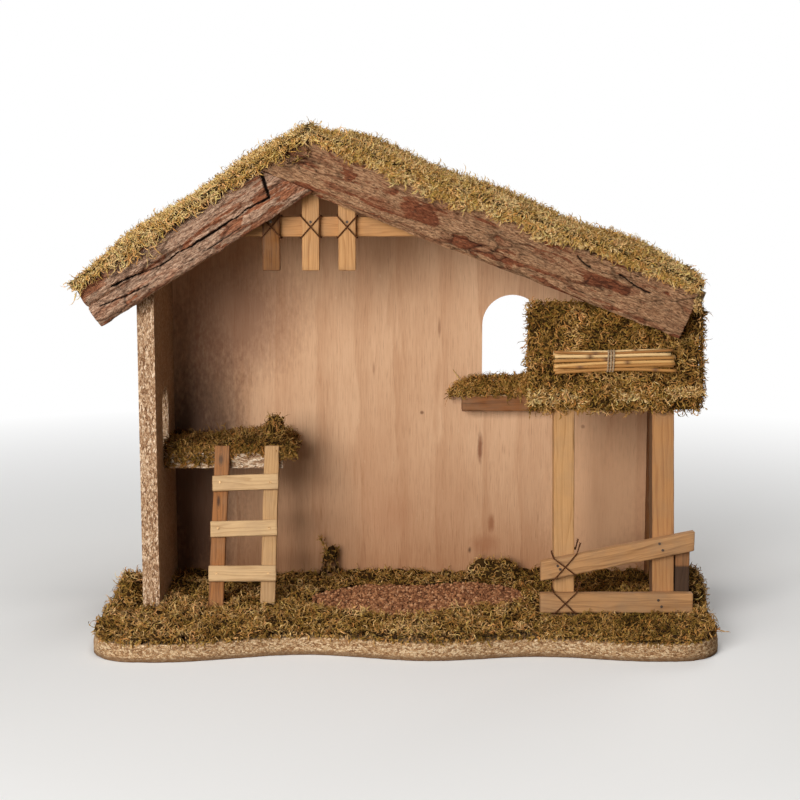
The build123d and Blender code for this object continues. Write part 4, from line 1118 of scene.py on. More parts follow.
def post_lashing(rail, room=0.8, over=1.0):
    """Corners of the twine round a rail and the middle post, with two loose ends."""
    box, post = lath_corners(rail + "_fence_rail"), lath_corners("middle_post")
    rail_low, rail_head, post_low = box[0, 0, 0], box[0, 0, 1], post[0, 0, 0]
    share = ((rail_low[2] + rail_head[2]) / 2 - post_low[2]) / (post[0, 0, 1][2] - post_low[2])
    left, right = [
        post[side, 0, 0][0] + share * (post[side, 0, 1][0] - post[side, 0, 0][0]) + (2 * side - 1) * over
        for side in (0, 1)
    ]
    slope = (box[1, 0, 0][2] - rail_low[2]) / (box[1, 0, 0][0] - rail_low[0])
    front, back = rail_low[1] - room, post[0, 1, 0][1] + room

    def foot(x):
        return rail_low[2] + (x - rail_low[0]) * slope - over

    def head(x):
        return rail_head[2] + (x - rail_low[0]) * slope + over

    return [(right + 2.2, front, head(right) + 8), (right, front, head(right)), (left, front, foot(left)),
            (left, back, foot(left)), (right, back, foot(right)), (right, front - over, foot(right)),
            (left, front - over, head(left)), (left, back, head(left)), (right, back, head(right)),
            (right, back - 10, head(right)), (right + 1.8, back - 10.5, head(right) + 8)]


lashings = {"slat_lashing_" + slat: slat_lashing(slat) for slat in ("left", "middle", "right")}
lashings["upper_rail_lashing"] = post_lashing("upper")
lashings["lower_rail_lashing"] = post_lashing("lower")
for name, corners in lashings.items():
    line, length = even_line(smooth_route(pulled(corners)), 0.45)
    points, faces = plies(line, 0.55, 2.6, fray=0.5 if "rail" in name else 0.0)
    make_piece(name + "_twisted", points, faces, twine_finish, (name,))
    print(name, "length", round(float(length), 1))

# %% [markdown]
# ## Straw bundle
# A small bundle of cut straw lies on the front of the loft, tied once with thread. Each stem is a hollow
# tube with a joint somewhere along it, a slight bend and its own tone, and the ends fan out. The stems fill
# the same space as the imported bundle, six rows high and two deep.

# %% Straw finish
straw_finish, tree, shader = finish("straw", 0.55, 0.4)
rib = noise_value(tree, place_mm(tree), (0.06, 2.6, 2.6), 4.0)
straw_tones = palette("94622b bd8746 d3a464 e3c28c")
colour = ramp(tree, attribute(tree, "stem"), (0.0, 0.4, 0.75, 1.0), straw_tones)
colour = blend(tree, span(tree, rib, 0.48, 0.72, 0.0, 0.5), colour, tone("80552a"))
# The joint value darkens each joint, and at 0.75 the inside of every stem as painted shade.
colour = blend(tree, attribute(tree, "joint"), colour, tone("6b4524"))
join(tree, colour, shader["Base Color"])
bumped(tree, shader, rib, 0.35, 0.0003)
print("straw finish ready")

# %% Straw
straw_low, straw_high = box_mm("straw_bundle")
tie_low, tie_high = box_mm("straw_tie")
tie_middle = (tie_low + tie_high) / 2
STEM_ROWS, STEM_LAYERS, STEM_STEPS, STEM_SIDES = 6, (-1.3, 1.1), 24, 9
rng = np.random.default_rng(21)
stem_parts, stem_values, joint_and_inner_shade = [], [], []
for row, layer_y in product(range(STEM_ROWS), STEM_LAYERS):
    lift = (row - 2.5) * 2.35 + rng.normal(0, 0.2)
    radius = rng.uniform(1.0, 1.36)
    start = straw_low[0] + rng.uniform(0, 1.5)
    stop = straw_high[0] - rng.uniform(0, 5)
    x = np.linspace(start, stop, STEM_STEPS)
    off = (x - tie_middle[0]) / (straw_high[0] - straw_low[0])
    fan = rng.normal(0, 1.0, 2)
    bow = rng.normal(0, 1.2)
    z = tie_middle[2] + 2.7 * off + lift * (1 + 0.34 * np.abs(off))
    z = z + np.where(off < 0, fan[0], fan[1]) * off ** 2 * 5 + bow * off ** 2
    y = tie_middle[1] + layer_y * (1 + 0.2 * np.abs(off)) + rng.normal(0, 0.12) + rng.normal(0, 0.6) * off ** 2
    line = np.column_stack((x, y, z))
    swell = np.full(STEM_STEPS, radius)
    joint_at = rng.integers(3, 21)
    swell[joint_at] *= 1.22
    outer, outer_faces = tube(line, swell, STEM_SIDES)
    inner, inner_faces = tube(line, radius * 0.72, STEM_SIDES)
    stem_faces = [outer_faces, inner_faces[:, ::-1] + len(outer)]
    for end, turn in ((0, 1), (STEM_STEPS - 1, -1)):
        ring = end * STEM_SIDES + np.arange(STEM_SIDES)
        after = np.roll(ring, -1)
        stem_faces.append(np.stack((ring, ring + len(outer), after + len(outer), after), -1)[:, ::turn])
    stem_parts.append((np.concatenate((outer, inner)), np.concatenate(stem_faces)))
    stem_values.append(np.full(2 * len(outer), rng.uniform()))
    mark = np.repeat((np.arange(STEM_STEPS) == joint_at).astype(float), STEM_SIDES)
    # The inside of each tube gets 0.75 of the dark joint tone: painted shade inside the hollow stem.
    joint_and_inner_shade.append(np.concatenate((mark, np.full(len(outer), 0.75))))
points, faces = gather(stem_parts)
make_piece("straw_stems", points, faces, straw_finish, ("straw_bundle",),
           {"stem": np.concatenate(stem_values), "joint": np.concatenate(joint_and_inner_shade)})
print("straws", len(stem_parts))

# %% Thread round the straw
thread_finish, tree, shader = finish("thread", 0.85, 0.15)
lint = noise_value(tree, place_mm(tree), 1.6)
join(tree, ramp(tree, lint, (0.3, 0.7), palette("8a7259 c4ab8b")), shader["Base Color"])
half = (tie_high - tie_low) / 2 - 0.5
turns = []
for quarter in range(13):
    turn_y, turn_z = ((1, 1), (1, -1), (-1, -1), (-1, 1))[quarter % 4]
    along = (quarter / 4 - 1.5) * 1.9
    turns.append(tie_middle + np.array((along, turn_y * half[1], turn_z * half[2])))
line, length = even_line(smooth_route(pulled(turns, 1.6)), 0.4)
points, faces = plies(line, 0.66, 2.4)
make_piece("straw_tie_twisted", points, faces, thread_finish, ("straw_tie",))
print("thread length", round(float(length), 1))

# %% [markdown]
# ## Gravel patch
# A patch of fine reddish stone lies in the middle of the yard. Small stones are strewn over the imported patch,
# each a ball of twenty faces pushed out of round, turned at random and given its own tone. They lie so close
# that nothing shows between them, and thin out past the rim of the patch.

# %% Gravel finish
gravel_finish, tree, shader = finish("gravel", 0.9, 0.2)
grit = noise_value(tree, place_mm(tree), 1.4)
gravel_tones = palette("593520 865535 a77149 bd885e ca9a72")
colour = ramp(tree, attribute(tree, "stone"), (0.0, 0.35, 0.65, 0.9, 1.0), gravel_tones)
colour = blend(tree, span(tree, grit, 0.45, 0.7, 0.0, 0.45), colour, tone("6a4330"))
join(tree, colour, shader["Base Color"])
bumped(tree, shader, grit, 0.5, 0.0003)
print("gravel finish ready")

# %% Gravel
golden = (1 + 5 ** 0.5) / 2
ball = unit(np.array([np.roll((short, long, 0), turn) for turn in range(3)
                      for long in (golden, -golden) for short in (-1, 1)], float))
ball_faces = np.array([
    (0, 11, 5), (0, 5, 1), (0, 1, 7), (0, 7, 10), (0, 10, 11), (1, 5, 9), (5, 11, 4), (11, 10, 2), (10, 7, 6),
    (7, 1, 8), (3, 9, 4), (3, 4, 2), (3, 2, 6), (3, 6, 8), (3, 8, 9), (4, 9, 5), (2, 4, 11), (6, 2, 10),
    (8, 6, 7), (9, 8, 1),
])
STONES, PAST_RIM = 6000, 3
rng = np.random.default_rng(5)
gravel_low, gravel_high = box_mm("gravel_patch")
gravel_tree = solid_tree("gravel_patch")
stones, stone_values = [], []
while len(stones) < STONES:
    x, y = [rng.uniform(gravel_low[k] - PAST_RIM, gravel_high[k] + PAST_RIM) for k in (0, 1)]
    away = gravel_tree.find_nearest(Vector((x, y, gravel_high[2])))[3]
    if away > 3.2 * rng.uniform() ** 2:
        continue
    size = rng.uniform(0.75, 1.55)
    shape = ball * (1 + rng.uniform(-0.28, 0.28, (12, 1))) * size * rng.uniform(0.7, 1.15, 3)
    turn = np.linalg.qr(rng.normal(size=(3, 3)))[0]
    level = gravel_high[2] - 0.6 + rng.uniform(0, 1.5) - 0.8 * max(away - 0.8, 0)
    stones.append((shape @ turn + (x, y, level), ball_faces if np.linalg.det(turn) > 0 else ball_faces[:, ::-1]))
    stone_values.append(np.full(len(ball), rng.uniform()))
points, faces = gather(stones)
make_piece("gravel_stones", points, faces, gravel_finish, ("gravel_patch",),
           {"stone": np.concatenate(stone_values)}, smooth=False)
print("stones", len(stones))

# %% [markdown]
# ## Moss
# Dried sheet moss is glued on the roof, the base, the shelf and the loft. It is a thin dark mat with
# thousands of curled, feathery strands on it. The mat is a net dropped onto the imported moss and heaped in
# cushions; the strands are narrow folded ribbons whose edges go in and out like small leaves. Each strand
# keeps a random number and its place from root to tip, and the finish turns these into olive, gold and
# brown. The mat below has a finish of its own, so dark that gaps between strands read as shade.

# %% Group: moss tones
MOSS_TONES = ("Deep", "Olive", "Gold", "Tip")
moss_inputs = {"Coordinates": ORIGIN, "Strand": 0.5, "Reach": 1.0, "Golden": 0.0, "Tinted": 1.0}
moss_inputs.update({label: WHITE for label in MOSS_TONES})
moss_tones, given, gives = group("moss_tones", moss_inputs, {"Color": "Color"})
tree, place, deep = moss_tones, given["Coordinates"], given["Deep"]
patch, fine = noise_value(tree, place, 0.045), noise_value(tree, place, 1.1, 2.0)
mix = weighed(tree, (given["Strand"], 0.75), (patch, 0.9), (given["Golden"], 1))
colour = stepped(tree, mix, (0.05, 0.35, 0.65, 0.95), [given[label] for label in MOSS_TONES])
# Painted shade: each strand darkens towards its root, down in the moss.
colour = blend(tree, span(tree, given["Reach"], 0.45, 0.0, 0.0, 0.75), colour, deep)
colour = blend(tree, span(tree, fine, 0.4, 0.65, 0.0, 0.35), colour, deep)
tint = math_node(tree, "FRACT", times(tree, given["Strand"], 53.0))
redder, greener = (1.1, 0.86, 0.8, 1.0), (0.92, 1.04, 0.82, 1.0)
colour = blend(tree, span(tree, tint, 0.3, 0.0, 0.0, given["Tinted"]), colour, redder, "MULTIPLY")
colour = blend(tree, span(tree, tint, 0.62, 1.0, 0.0, given["Tinted"]), colour, greener, "MULTIPLY")
join(tree, colour, gives["Color"])
print("group", moss_tones.name)


# %% Moss finish
def moss_finish(name, codes, golden, tinted=1.0):
    """Moss from deep, olive, gold and tip tones; tinted strands lean to red or green."""
    material, tree, shader = finish(name, 1.0, 0.05)
    inputs = dict(zip(MOSS_TONES, palette(codes)))
    inputs.update({"Coordinates": place_mm(tree), "Strand": attribute(tree, "strand"),
                   "Reach": attribute(tree, "reach"), "Golden": golden, "Tinted": tinted})
    join(tree, use(tree, moss_tones, inputs)["Color"], shader["Base Color"])
    return material


roof_moss = moss_finish("moss_roof", "4d3719 987538 cb9d57 e8c78d", -0.11)
yard_moss = moss_finish("moss_yard", "35230f 82622b ba8b4a e2b97f", -0.24)
shelf_moss = moss_finish("moss_shelf", "2d1d0c 6b5022 9c713a c99d63", -0.25)
loft_moss = moss_finish("moss_loft", "33230f 7c5e2a b48443 e6b978", -0.31)
moss_bed = moss_finish("moss_bed", "2a1b0c 453015 5f451f 78592c", -0.35, tinted=0.0)
print("moss finishes ready")

# %% Moss mat
Mat = namedtuple("Mat", "points faces dome")
RIGHT, LEFT, BACK, FRONT, UP, DOWN = (1, 0, 0), (-1, 0, 0), (0, 1, 0), (0, -1, 0), (0, 0, 1), (0, 0, -1)
FROM_ABOVE, FROM_FRONT = (RIGHT, BACK, DOWN), (RIGHT, UP, BACK)


def bed_piece(name, points, faces, high, speckle=0.0, stands_for=()):
    """The dark mat itself, a little paler on top of its cushions."""
    values = {"strand": speckle + 0.2 + 0.2 * high, "reach": 0.14 * high}
    make_piece(name, points, faces, moss_bed, stands_for, values)


def moss_mat(name, solid, corner, across, upward, look, size, step=1.6, lump=1.0, seed=1, dome_size=9.0,
             stretch=1.0, sink=9.0, limit=None, stands_for=()):
    """A net from a corner, dropped along look onto packed moss and heaped in cushions."""
    tree = solid_tree(*([solid] if isinstance(solid, str) else solid))
    corner = np.array(corner, float)
    across, upward, look = [unit(np.array(way, float)) for way in (across, upward, look)]
    counts = [max(2, int(length / step)) for length in size]
    spots = np.array([[corner + across * i * step + upward * j * step for j in range(counts[1])]
                      for i in range(counts[0])])
    hit = np.full(spots.shape, np.nan)
    for i, j in np.ndindex(*counts):
        found = tree.ray_cast(Vector(spots[i, j] - look * 120), Vector(look))[0]
        if found is not None:
            hit[i, j] = found

    def dome(points):
        """How high points stand on their cushion: 1 on top, 0 between cushions."""
        first, second = (points - corner) @ across / stretch, (points - corner) @ upward
        return cushions(np.column_stack((first, second, np.zeros(len(first)))), dome_size, seed)

    flat = spots.reshape(-1, 3)
    ups = ((dome(flat) - 0.45) * 3.4 + lumps(flat, (28, 28, 28), seed + 2) * 1.2) * lump
    points = hit.reshape(-1, 3) - look * np.maximum(ups, -sink)[:, None]
    if limit is not None:
        points = limit(points)
    faces = net_faces(np.arange(counts[0] * counts[1]).reshape(counts))
    faces = faces[~np.isnan(points[faces]).any((1, 2))]
    depth = points[faces] @ look
    faces = faces[depth.max(1) - depth.min(1) < 7 * step]
    used, faces = np.unique(faces, return_inverse=True)
    faces, points = faces.reshape(-1, 4), points[used]
    if np.cross(across, upward) @ look > 0:
        faces = faces[:, ::-1]
    bed_piece(name, points, faces, dome(points), smooth_noise(points, (3, 3, 3), seed) * 0.3, stands_for)
    return Mat(points, faces, dome)


# %% [markdown]
# A strand starts at a root on the mat, turns a little at each of its joints, and is bent back towards the
# mat, so that it curls up instead of standing like grass. Every strand gets its own square of a UV map,
# because a baked colour needs a place for each face.


# %% Moss strands
JOINTS, LEAF_LOW, LEAF_TIP, ROOM = 8, 0.45, 0.08, 0.6


def clear_of(points, tree):
    """Points moved out of a solid so that they keep some room from it."""
    moved = points.copy()
    for number, spot in enumerate(points):
        near, normal, face, distance = tree.find_nearest(Vector(spot), 8.0)
        if near is not None and (Vector(spot) - near).dot(normal) < ROOM:
            moved[number] = np.array(near + normal * ROOM)
    return moved


def bake_squares(obj, faces, count, reach):
    """UV map on which each strand has a square of its own."""
    cells = int(math.ceil(math.sqrt(count)))
    home = np.arange(count)
    u = ((home % cells)[:, None, None] + np.array((0.12, 0.5, 0.88))[None, None, :]) / cells
    v = ((home // cells)[:, None, None] + (0.1 + 0.8 * reach)[None, :, None]) / cells
    flat_map = np.stack(np.broadcast_arrays(u, v), -1).reshape(-1, 2)
    layer = obj.data.uv_layers.new(name="OFBake")
    layer.data.foreach_set("uv", flat_map[faces.ravel()].astype(np.float32).ravel())


def strands(name, roots, ups, flows, lengths, width, material, seed, tones, droop=0.3, curl=4.4,
            lift=(0.1, 0.6), off=None, press=0.7):
    """Curled feathery strands: each a folded ribbon that press bends back to the mat and off keeps clear."""
    rng = np.random.default_rng(seed)
    count = len(roots)
    heading = unit(flows + ups * rng.uniform(*lift, (count, 1)))
    axis = unit(ups * 0.5 + rng.normal(0, 0.5, (count, 3)))
    turn = curl * rng.uniform(0.3, 1.3, (count, 1)) * np.sign(rng.normal(size=(count, 1)))
    step = (lengths / (JOINTS - 1))[:, None]
    line = [roots - ups * 0.25]
    for joint in range(1, JOINTS):
        bend = turn * (0.5 + joint / JOINTS) / (JOINTS - 1)
        heading = heading + np.cross(axis, heading) * bend + rng.normal(0, 0.12, (count, 3))
        heading = heading - ups * (press * 2 * joint / JOINTS / (JOINTS - 1))
        heading[:, 2] -= droop / (JOINTS - 1)
        heading = unit(heading)
        line.append(line[-1] + heading * step)
    line = np.stack(line, 1)
    if off is not None:
        line = clear_of(line.reshape(-1, 3), off).reshape(count, JOINTS, 3)
    ahead = unit(np.gradient(line, axis=1))
    side = unit(np.cross(ahead, ups[:, None] + rng.normal(0, 0.45, (count, 1, 3))))
    fold = np.cross(side, ahead)
    reach = np.linspace(0, 1, JOINTS)
    leaf = np.where(np.arange(JOINTS) % 2 == 0, LEAF_LOW, 1.0) * (1 - 0.75 * reach ** 2)
    leaf[-1] = LEAF_TIP
    half = (width * rng.uniform(0.7, 1.3, (count, 1)) * 0.5 * leaf[None])[..., None]
    tips = ahead * half * 0.9
    ribbon = (line - side * half + tips, line + fold * half * 0.6, line + side * half + tips)
    number = np.arange(count * JOINTS * 3).reshape(count, JOINTS, 3)
    quads = [np.stack((number[:, :-1, k], number[:, :-1, k + 1], number[:, 1:, k + 1], number[:, 1:, k]), -1)
             for k in (0, 1)]
    faces = np.stack(quads, 2).reshape(-1, 4)
    values = {"strand": np.repeat(tones, JOINTS * 3), "reach": np.tile(np.repeat(reach, 3), count)}
    obj = make_piece(name, np.stack(ribbon, 2).reshape(-1, 3), faces, material, (), values)
    bake_squares(obj, faces, count, reach)


print("moss mats and strands ready")


# %% Roots, tones and directions
def between(first, last):
    """Weight that keeps the part of a mat between two depths."""
    return lambda middle: (middle[:, 1] >= first) & (middle[:, 1] < last)


def roots_on(mat, count, rng, weight=None):
    """Random places on a mat with the direction away from it."""
    corner = mat.points[mat.faces]
    cross = np.cross(corner[:, 2] - corner[:, 0], corner[:, 3] - corner[:, 1])
    area = np.linalg.norm(cross, axis=1)
    if weight is not None:
        area = area * weight(corner.mean(1))
    pick = rng.choice(len(mat.faces), count, p=area / area.sum())
    a, b = rng.uniform(0, 1, (2, count, 1))
    four = corner[pick]
    spot = (four[:, 0] * (1 - a) + four[:, 1] * a) * (1 - b) + (four[:, 3] * (1 - a) + four[:, 2] * a) * b
    return spot, unit(cross[pick])


def strand_tones(roots, rng, high=0.5, size=(6, 6, 6)):
    """Tone of each strand: partly its own, partly its neighbours', paler on top of a cushion."""
    shared = 0.5 + 0.6 * lumps(roots, size, 13)
    return np.clip(0.5 * rng.uniform(0, 1, len(roots)) + 0.36 * shared + 0.4 * high - 0.06, 0, 1)


def strand_lengths(rng, spread, least, count):
    """Lengths of strands: a least one and a spread with a few long ones."""
    return rng.gamma(6.0, spread, count) + least


def random_flow(ups, rng, pull=(0, 0, 0)):
    """A direction along the mat for each strand, with a common pull."""
    free = rng.normal(size=ups.shape) + np.array(pull)
    return unit(free - ups * (free * ups).sum(1, keepdims=True))


def leaning(direction, spread, count, rng):
    """A direction for each strand, near a common one."""
    return unit(np.tile(direction, (count, 1)) + rng.normal(0, spread, (count, 3)))


def grow(name, spot, ups, rng, material, seed, high, pull=(0, 0, 0), spread=0.7, least=2, width=1.08, **bend):
    """Strands at given roots that lie along their mat; high is the height of each root's cushion."""
    flows = random_flow(ups, rng, pull)
    lengths = strand_lengths(rng, spread, least, len(spot))
    strands(name, spot, ups, flows, lengths, width, material, seed, strand_tones(spot, rng, high), **bend)


def cover(name, mat, count, rng, material, seed, high=None, **growth):
    """Strands all over a mat."""
    spot, ups = roots_on(mat, count, rng)
    grow(name, spot, ups, rng, material, seed, mat.dome(spot) if high is None else high, **growth)


print("strand helpers ready")

# %% [markdown]
# ## Roof moss
# Each slope carries one mat that reaches from the back over the front edge. On top the strands lie mostly
# down the slope; along the front they hang over the bark in uneven tufts, longest on the right slope near
# the ridge, and at the right end they wrap round the cut edge of the roof. The net on top can't see the
# upright edges, so the front lip, the rear edge and the right end get mats of their own.

# %% Roof mats
Slope = namedtuple("Slope", "pitch seed lump lift press")
slopes = {
    "left": Slope(LEFT_PITCH, 1, 0.3, (-0.1, 0.1), 1.2),
    "right": Slope(RIGHT_PITCH, 2, 0.6, (0.0, 0.45), 0.9),
}
ROOF_FRONT, ROOF_END = -32, 206.5
LONG_SLOPE = 285
right_out = slope_ways(RIGHT_PITCH)[1]
right_board_top = (solid_points("right_roof_board") @ right_out).max()


def trimmed_end(points):
    """The right end of the mat cut back towards the front, as it is on the real roof."""
    cut = points.copy()
    cut[:, 0] = np.minimum(points[:, 0], ROOF_END + 0.085 * (points[:, 1] - ROOF_FRONT))
    return cut


def thicker_end(points):
    """The mat trimmed, and raised where it is heaped towards the right end."""
    raised = trimmed_end(points)
    lift = np.interp(points[:, 0], (140, 178, 196, 207), (0, 2, 6, 9)) * np.clip((points[:, 1] + 34) / 25, 0, 1)
    raised[:, 2] += lift * np.clip((points @ right_out - right_board_top) / 5, 0, 1)
    return raised


def roof_mats(side):
    """The mats of one slope: on top, over the front edge and down the rear edge."""
    node, (way, out), facts = side + "_roof_moss", slope_ways(slopes[side].pitch), slopes[side]
    points = solid_points(node)
    along, top = points @ way, (points @ out).max()
    front, behind = points[:, 1].min(), points[:, 1].max()
    length = along.max() - along.min()
    bark_top, board_top = [(solid_points(side + end) @ out).max() for end in ("_bark_slab", "_roof_board")]

    def corner(y, level):
        return way * along.min() + np.array((0, y, 0)) + out * level

    edge = {"lump": 0.25, "dome_size": 6.0, "stretch": 1.6}
    top_mat = moss_mat("roof_moss_mat_" + side, node, corner(front + 0.5, top), way, BACK, -out,
                       (length, behind - front), lump=facts.lump, seed=facts.seed, dome_size=7.0, stretch=2.4,
                       limit=thicker_end, stands_for=(node,))
    lip_mat = moss_mat("roof_moss_lip_" + side, node, corner(front, bark_top + 0.3), way, out, BACK,
                       (length, top - bark_top), seed=facts.seed + 5, limit=trimmed_end, **edge)
    rear_mat = moss_mat("roof_moss_rear_" + side, node, corner(behind, board_top + 0.2), way, out, FRONT,
                        (length, top - board_top), seed=facts.seed + 6, limit=thicker_end, **edge)
    print(node, "mat faces", len(top_mat.faces))
    return top_mat, lip_mat, rear_mat


# %% Roof strands
def right_end_cover(rng):
    """Mat and strands on the cut edge of the right slope."""
    points = solid_points("right_roof_moss")
    low, high = points.min(0), points.max(0)
    mat = moss_mat("roof_moss_end_mat", "right_roof_moss", (high[0], low[1], low[2]), BACK, UP, LEFT,
                   (high[1] - low[1], 36), lump=0.4, seed=slopes["right"].seed + 7, dome_size=7.0,
                   limit=thicker_end)
    cover("roof_moss_right_end_cover", mat, 2100, rng, roof_moss, 53, pull=(0, 0, -1.2), spread=0.6,
          lift=(0.1, 0.5), droop=0.4, curl=4.2)


roof_parts = {"front": (-40, 0), "middle": (0, 40), "back": (40, 110)}
for side, facts in slopes.items():
    top_mat, lip_mat, rear_mat = roof_mats(side)
    way, out = slope_ways(facts.pitch)
    along = solid_points(side + "_roof_moss") @ way
    portion = (along.max() - along.min()) / LONG_SLOPE
    piece = "roof_moss_" + side
    rng = np.random.default_rng(40 + facts.seed)
    cover(piece + "_rear", rear_mat, int(1100 * portion), rng, roof_moss, 37 + facts.seed, 0.4,
          spread=0.5, least=1.5, width=1.05, lift=(0.1, 0.4), droop=0.1, curl=4.2)
    cover(piece + "_lip", lip_mat, int(3000 * portion), rng, roof_moss, 47 + facts.seed, 0.5,
          pull=(0, 0, -0.9), width=1.05)
    if side == "right":
        right_end_cover(rng)
    down = way * (1 if side == "right" else -1) * 1.5 + np.array((0, -0.5, 0))
    slope_frame = np.stack((way, BACK, out), 1)
    amount = int(6800 * portion)
    for part, (first, last) in roof_parts.items():
        spot, ups = roots_on(top_mat, amount, rng, between(first, last))
        low_end = spot @ way - along.min() if side == "left" else along.max() - spot @ way
        lengths = strand_lengths(rng, 0.75, 2.5, amount) * np.interp(low_end, (0, 16), (0.4, 1.0))
        tones = strand_tones(spot @ slope_frame, rng, top_mat.dome(spot), (16, 4, 16))
        strands(piece + "_" + part, spot, ups, random_flow(ups, rng, down), lengths, 1.1, roof_moss,
                60 + facts.seed * 10 + last, tones, lift=facts.lift, droop=0.12, curl=4.2, press=facts.press)
    print(piece, "strands in each part", amount)

# %% [markdown]
# The left mat stops at the ridge with an upright face, which the right slope leaves showing. A mat covers
# that face, and a row of strands along its crown rounds it off.

# %% Ridge
ridge = box_mm("left_roof_moss")[1]
CROWN, BEHIND = 700, 98
ridge_mat = moss_mat("roof_moss_ridge_mat", "left_roof_moss", (ridge[0], ROOF_FRONT, ridge[2] - 30), BACK, UP, LEFT,
                     (BEHIND - ROOF_FRONT, 32), lump=0.4, seed=9, dome_size=6.0)
rng = np.random.default_rng(56)
spot, ups = roots_on(ridge_mat, 900, rng)
crown = np.column_stack((ridge[0] + rng.normal(0, 3.0, CROWN), rng.uniform(ROOF_FRONT, BEHIND, CROWN),
                         np.zeros(CROWN)))
crown_line = np.interp(crown[:, 1], (ROOF_FRONT, 33, BEHIND), (ridge[2] - 10.2, ridge[2] - 2.4, ridge[2] - 10.2))
crown[:, 2] = crown_line - np.abs(crown[:, 0] - ridge[0]) * 0.45
spot, ups = np.concatenate((spot, crown)), np.concatenate((ups, np.tile((0.25, 0, 0.97), (CROWN, 1))))
grow("roof_moss_ridge", spot, ups, rng, roof_moss, 57, 0.75, pull=(0.6, -0.2, -0.3), spread=0.55,
     lift=(0.0, 0.3), droop=0.25, curl=4.2)
print("ridge strands", len(spot))

# %% [markdown]
# Over the bark the moss hangs in tufts. A profile gives the hang in millimetres at shares of the slope's
# length, as read from the photograph; the strands start within that hang, and any point that falls inside
# the bark is moved out of it.


# %% Fringe over the bark
bark_tree = search_tree(left_slab, right_slab)


def fringe(name, side, profile, count, seed, reach=1.0):
    """Strands that start along the front edge of a slope and hang over the bark; profile gives the hang."""
    way, out = slope_ways(slopes[side].pitch)
    rng = np.random.default_rng(seed)
    ends = solid_points(side + "_roof_moss") @ way
    x = rng.uniform(ends.min() + 1, ends.max() - (14 if side == "right" else 1), count)
    share = (x - ends.min()) / (ends.max() - ends.min())
    hang = np.interp(share, *zip(*profile))
    clump = 0.62 + 0.62 * lumps(np.column_stack((x, np.zeros((count, 2)))), (13, 13, 13), seed)
    hang = np.maximum(hang * clump, 0.4)
    start = rng.uniform(-0.5, 1, count) * hang * 0.75
    top = (solid_points(side + "_bark_slab") @ out).max()
    spot = way * x[:, None] + out * (top + 1.8 - np.maximum(start, -1.5))[:, None]
    spot[:, 1] = rng.uniform(-34.5, -31.0, count)
    ups = leaning((0.0, -1.0, 0.35), 0.15, count, rng)
    flows = unit(np.tile((0.0, -0.1, -1.0), (count, 1)) + way * rng.normal(0, 0.75, (count, 1)))
    lengths = np.clip(strand_lengths(rng, 0.75, 0.2 * hang, count), 2.5, 8.5) * reach
    tones = strand_tones(spot, rng, 0.45, (5, 5, 5))
    strands(name, spot, ups, flows, lengths, 1.05, roof_moss, seed, tones, droop=0.4, curl=4.6, lift=(0.1, 0.5),
            off=bark_tree)


left_profile = ((0, 1.5), (0.1, 2), (0.2, 2.5), (0.3, 1.5), (0.45, 1), (0.6, 1.5), (0.8, 3.5), (0.9, 2), (1, 3))
tendrils = ((0, 8), (0.1, 16), (0.3, 17), (0.42, 9), (0.5, 2), (0.6, 5), (0.75, 3), (0.85, 9), (1, 3))
right_profile = ((0, 3), (0.05, 4), (0.09, 6), (0.11, 12), (0.13, 4), (0.18, 5), (0.24, 13), (0.32, 17), (0.4, 12),
                 (0.5, 14), (0.59, 15), (0.65, 3), (0.7, 2.5), (0.78, 4), (0.86, 7), (0.93, 9), (1, 12))
fringe("roof_moss_left_fringe", "left", left_profile, 1100, 71, 0.75)
fringe("roof_moss_left_tendrils", "left", tendrils, 340, 73, 1.5)
fringe("roof_moss_right_fringe", "right", right_profile, 4200, 72)
print("fringes hung")

# %% Roof ends
roof_ends = (("left", 260, 81, -224.5, 250.0, 5.0), ("right", 700, 82, ROOF_END, 240.0, 17.0))
for side, count, seed, end, high, deep in roof_ends:
    rng = np.random.default_rng(seed)
    outward = -1.0 if side == "left" else 1.0
    spot = np.column_stack((np.full(count, end), ROOF_FRONT + 92 * rng.uniform(0, 1, count) ** 2, np.zeros(count)))
    drop = deep * np.interp(spot[:, 1], (-30, -14, 10, 60), (1.0, 0.6, 0.35, 0.15))
    drop = drop * (0.75 + 0.5 * smooth_noise(spot, (12, 12, 12), seed))
    spot[:, 2] = high - rng.uniform(0, 1, count) * drop
    spot[:, 0] += outward * rng.uniform(-2.5, 1.0, count) + 0.07 * (spot[:, 1] + 30) * (side == "right")
    ups = leaning((outward, 0, 0.3), 0.2, count, rng)
    flows = leaning((0, 0, -1.0), 0.45, count, rng)
    lengths = strand_lengths(rng, 0.5, 1.2, count)
    strands("roof_moss_" + side + "_end", spot, ups, flows, lengths, 1.08, roof_moss, seed,
            strand_tones(spot, rng), droop=0.6, curl=4.0, lift=(-0.1, 0.2))
print("roof ends covered")

# %% [markdown]
# ## Yard moss
# The base is covered by a thicker, darker moss with mounds at both sides, one at the back, and a small sprig
# that stands up against the panel. It stops in a ragged line at the front edge, where the bare chipboard
# shows, and leaves room for the gravel. Under the lower rail of the fence it is pressed down.

# %% Yard moss
yard_solids = ("ground_moss", "moss_mound_right", "moss_mound_left", "moss_mound_back", "moss_tuft")
ground_low, ground_high = box_mm("ground_moss")
rail_low, rail_high = box_mm("lower_fence_rail")


def low_by_the_fence(points):
    """The mat kept just under the lower rail along the fence, free elsewhere."""
    away = np.maximum(rail_low[0] - 6 - points[:, 0], 0) + np.maximum(points[:, 1] - rail_high[1] - 9, 0)
    away += np.maximum(points[:, 0] - rail_high[0] + 1, 0)
    pressed = points.copy()
    pressed[:, 2] = np.minimum(points[:, 2], rail_low[2] - 0.6 + away * 0.9)
    return pressed


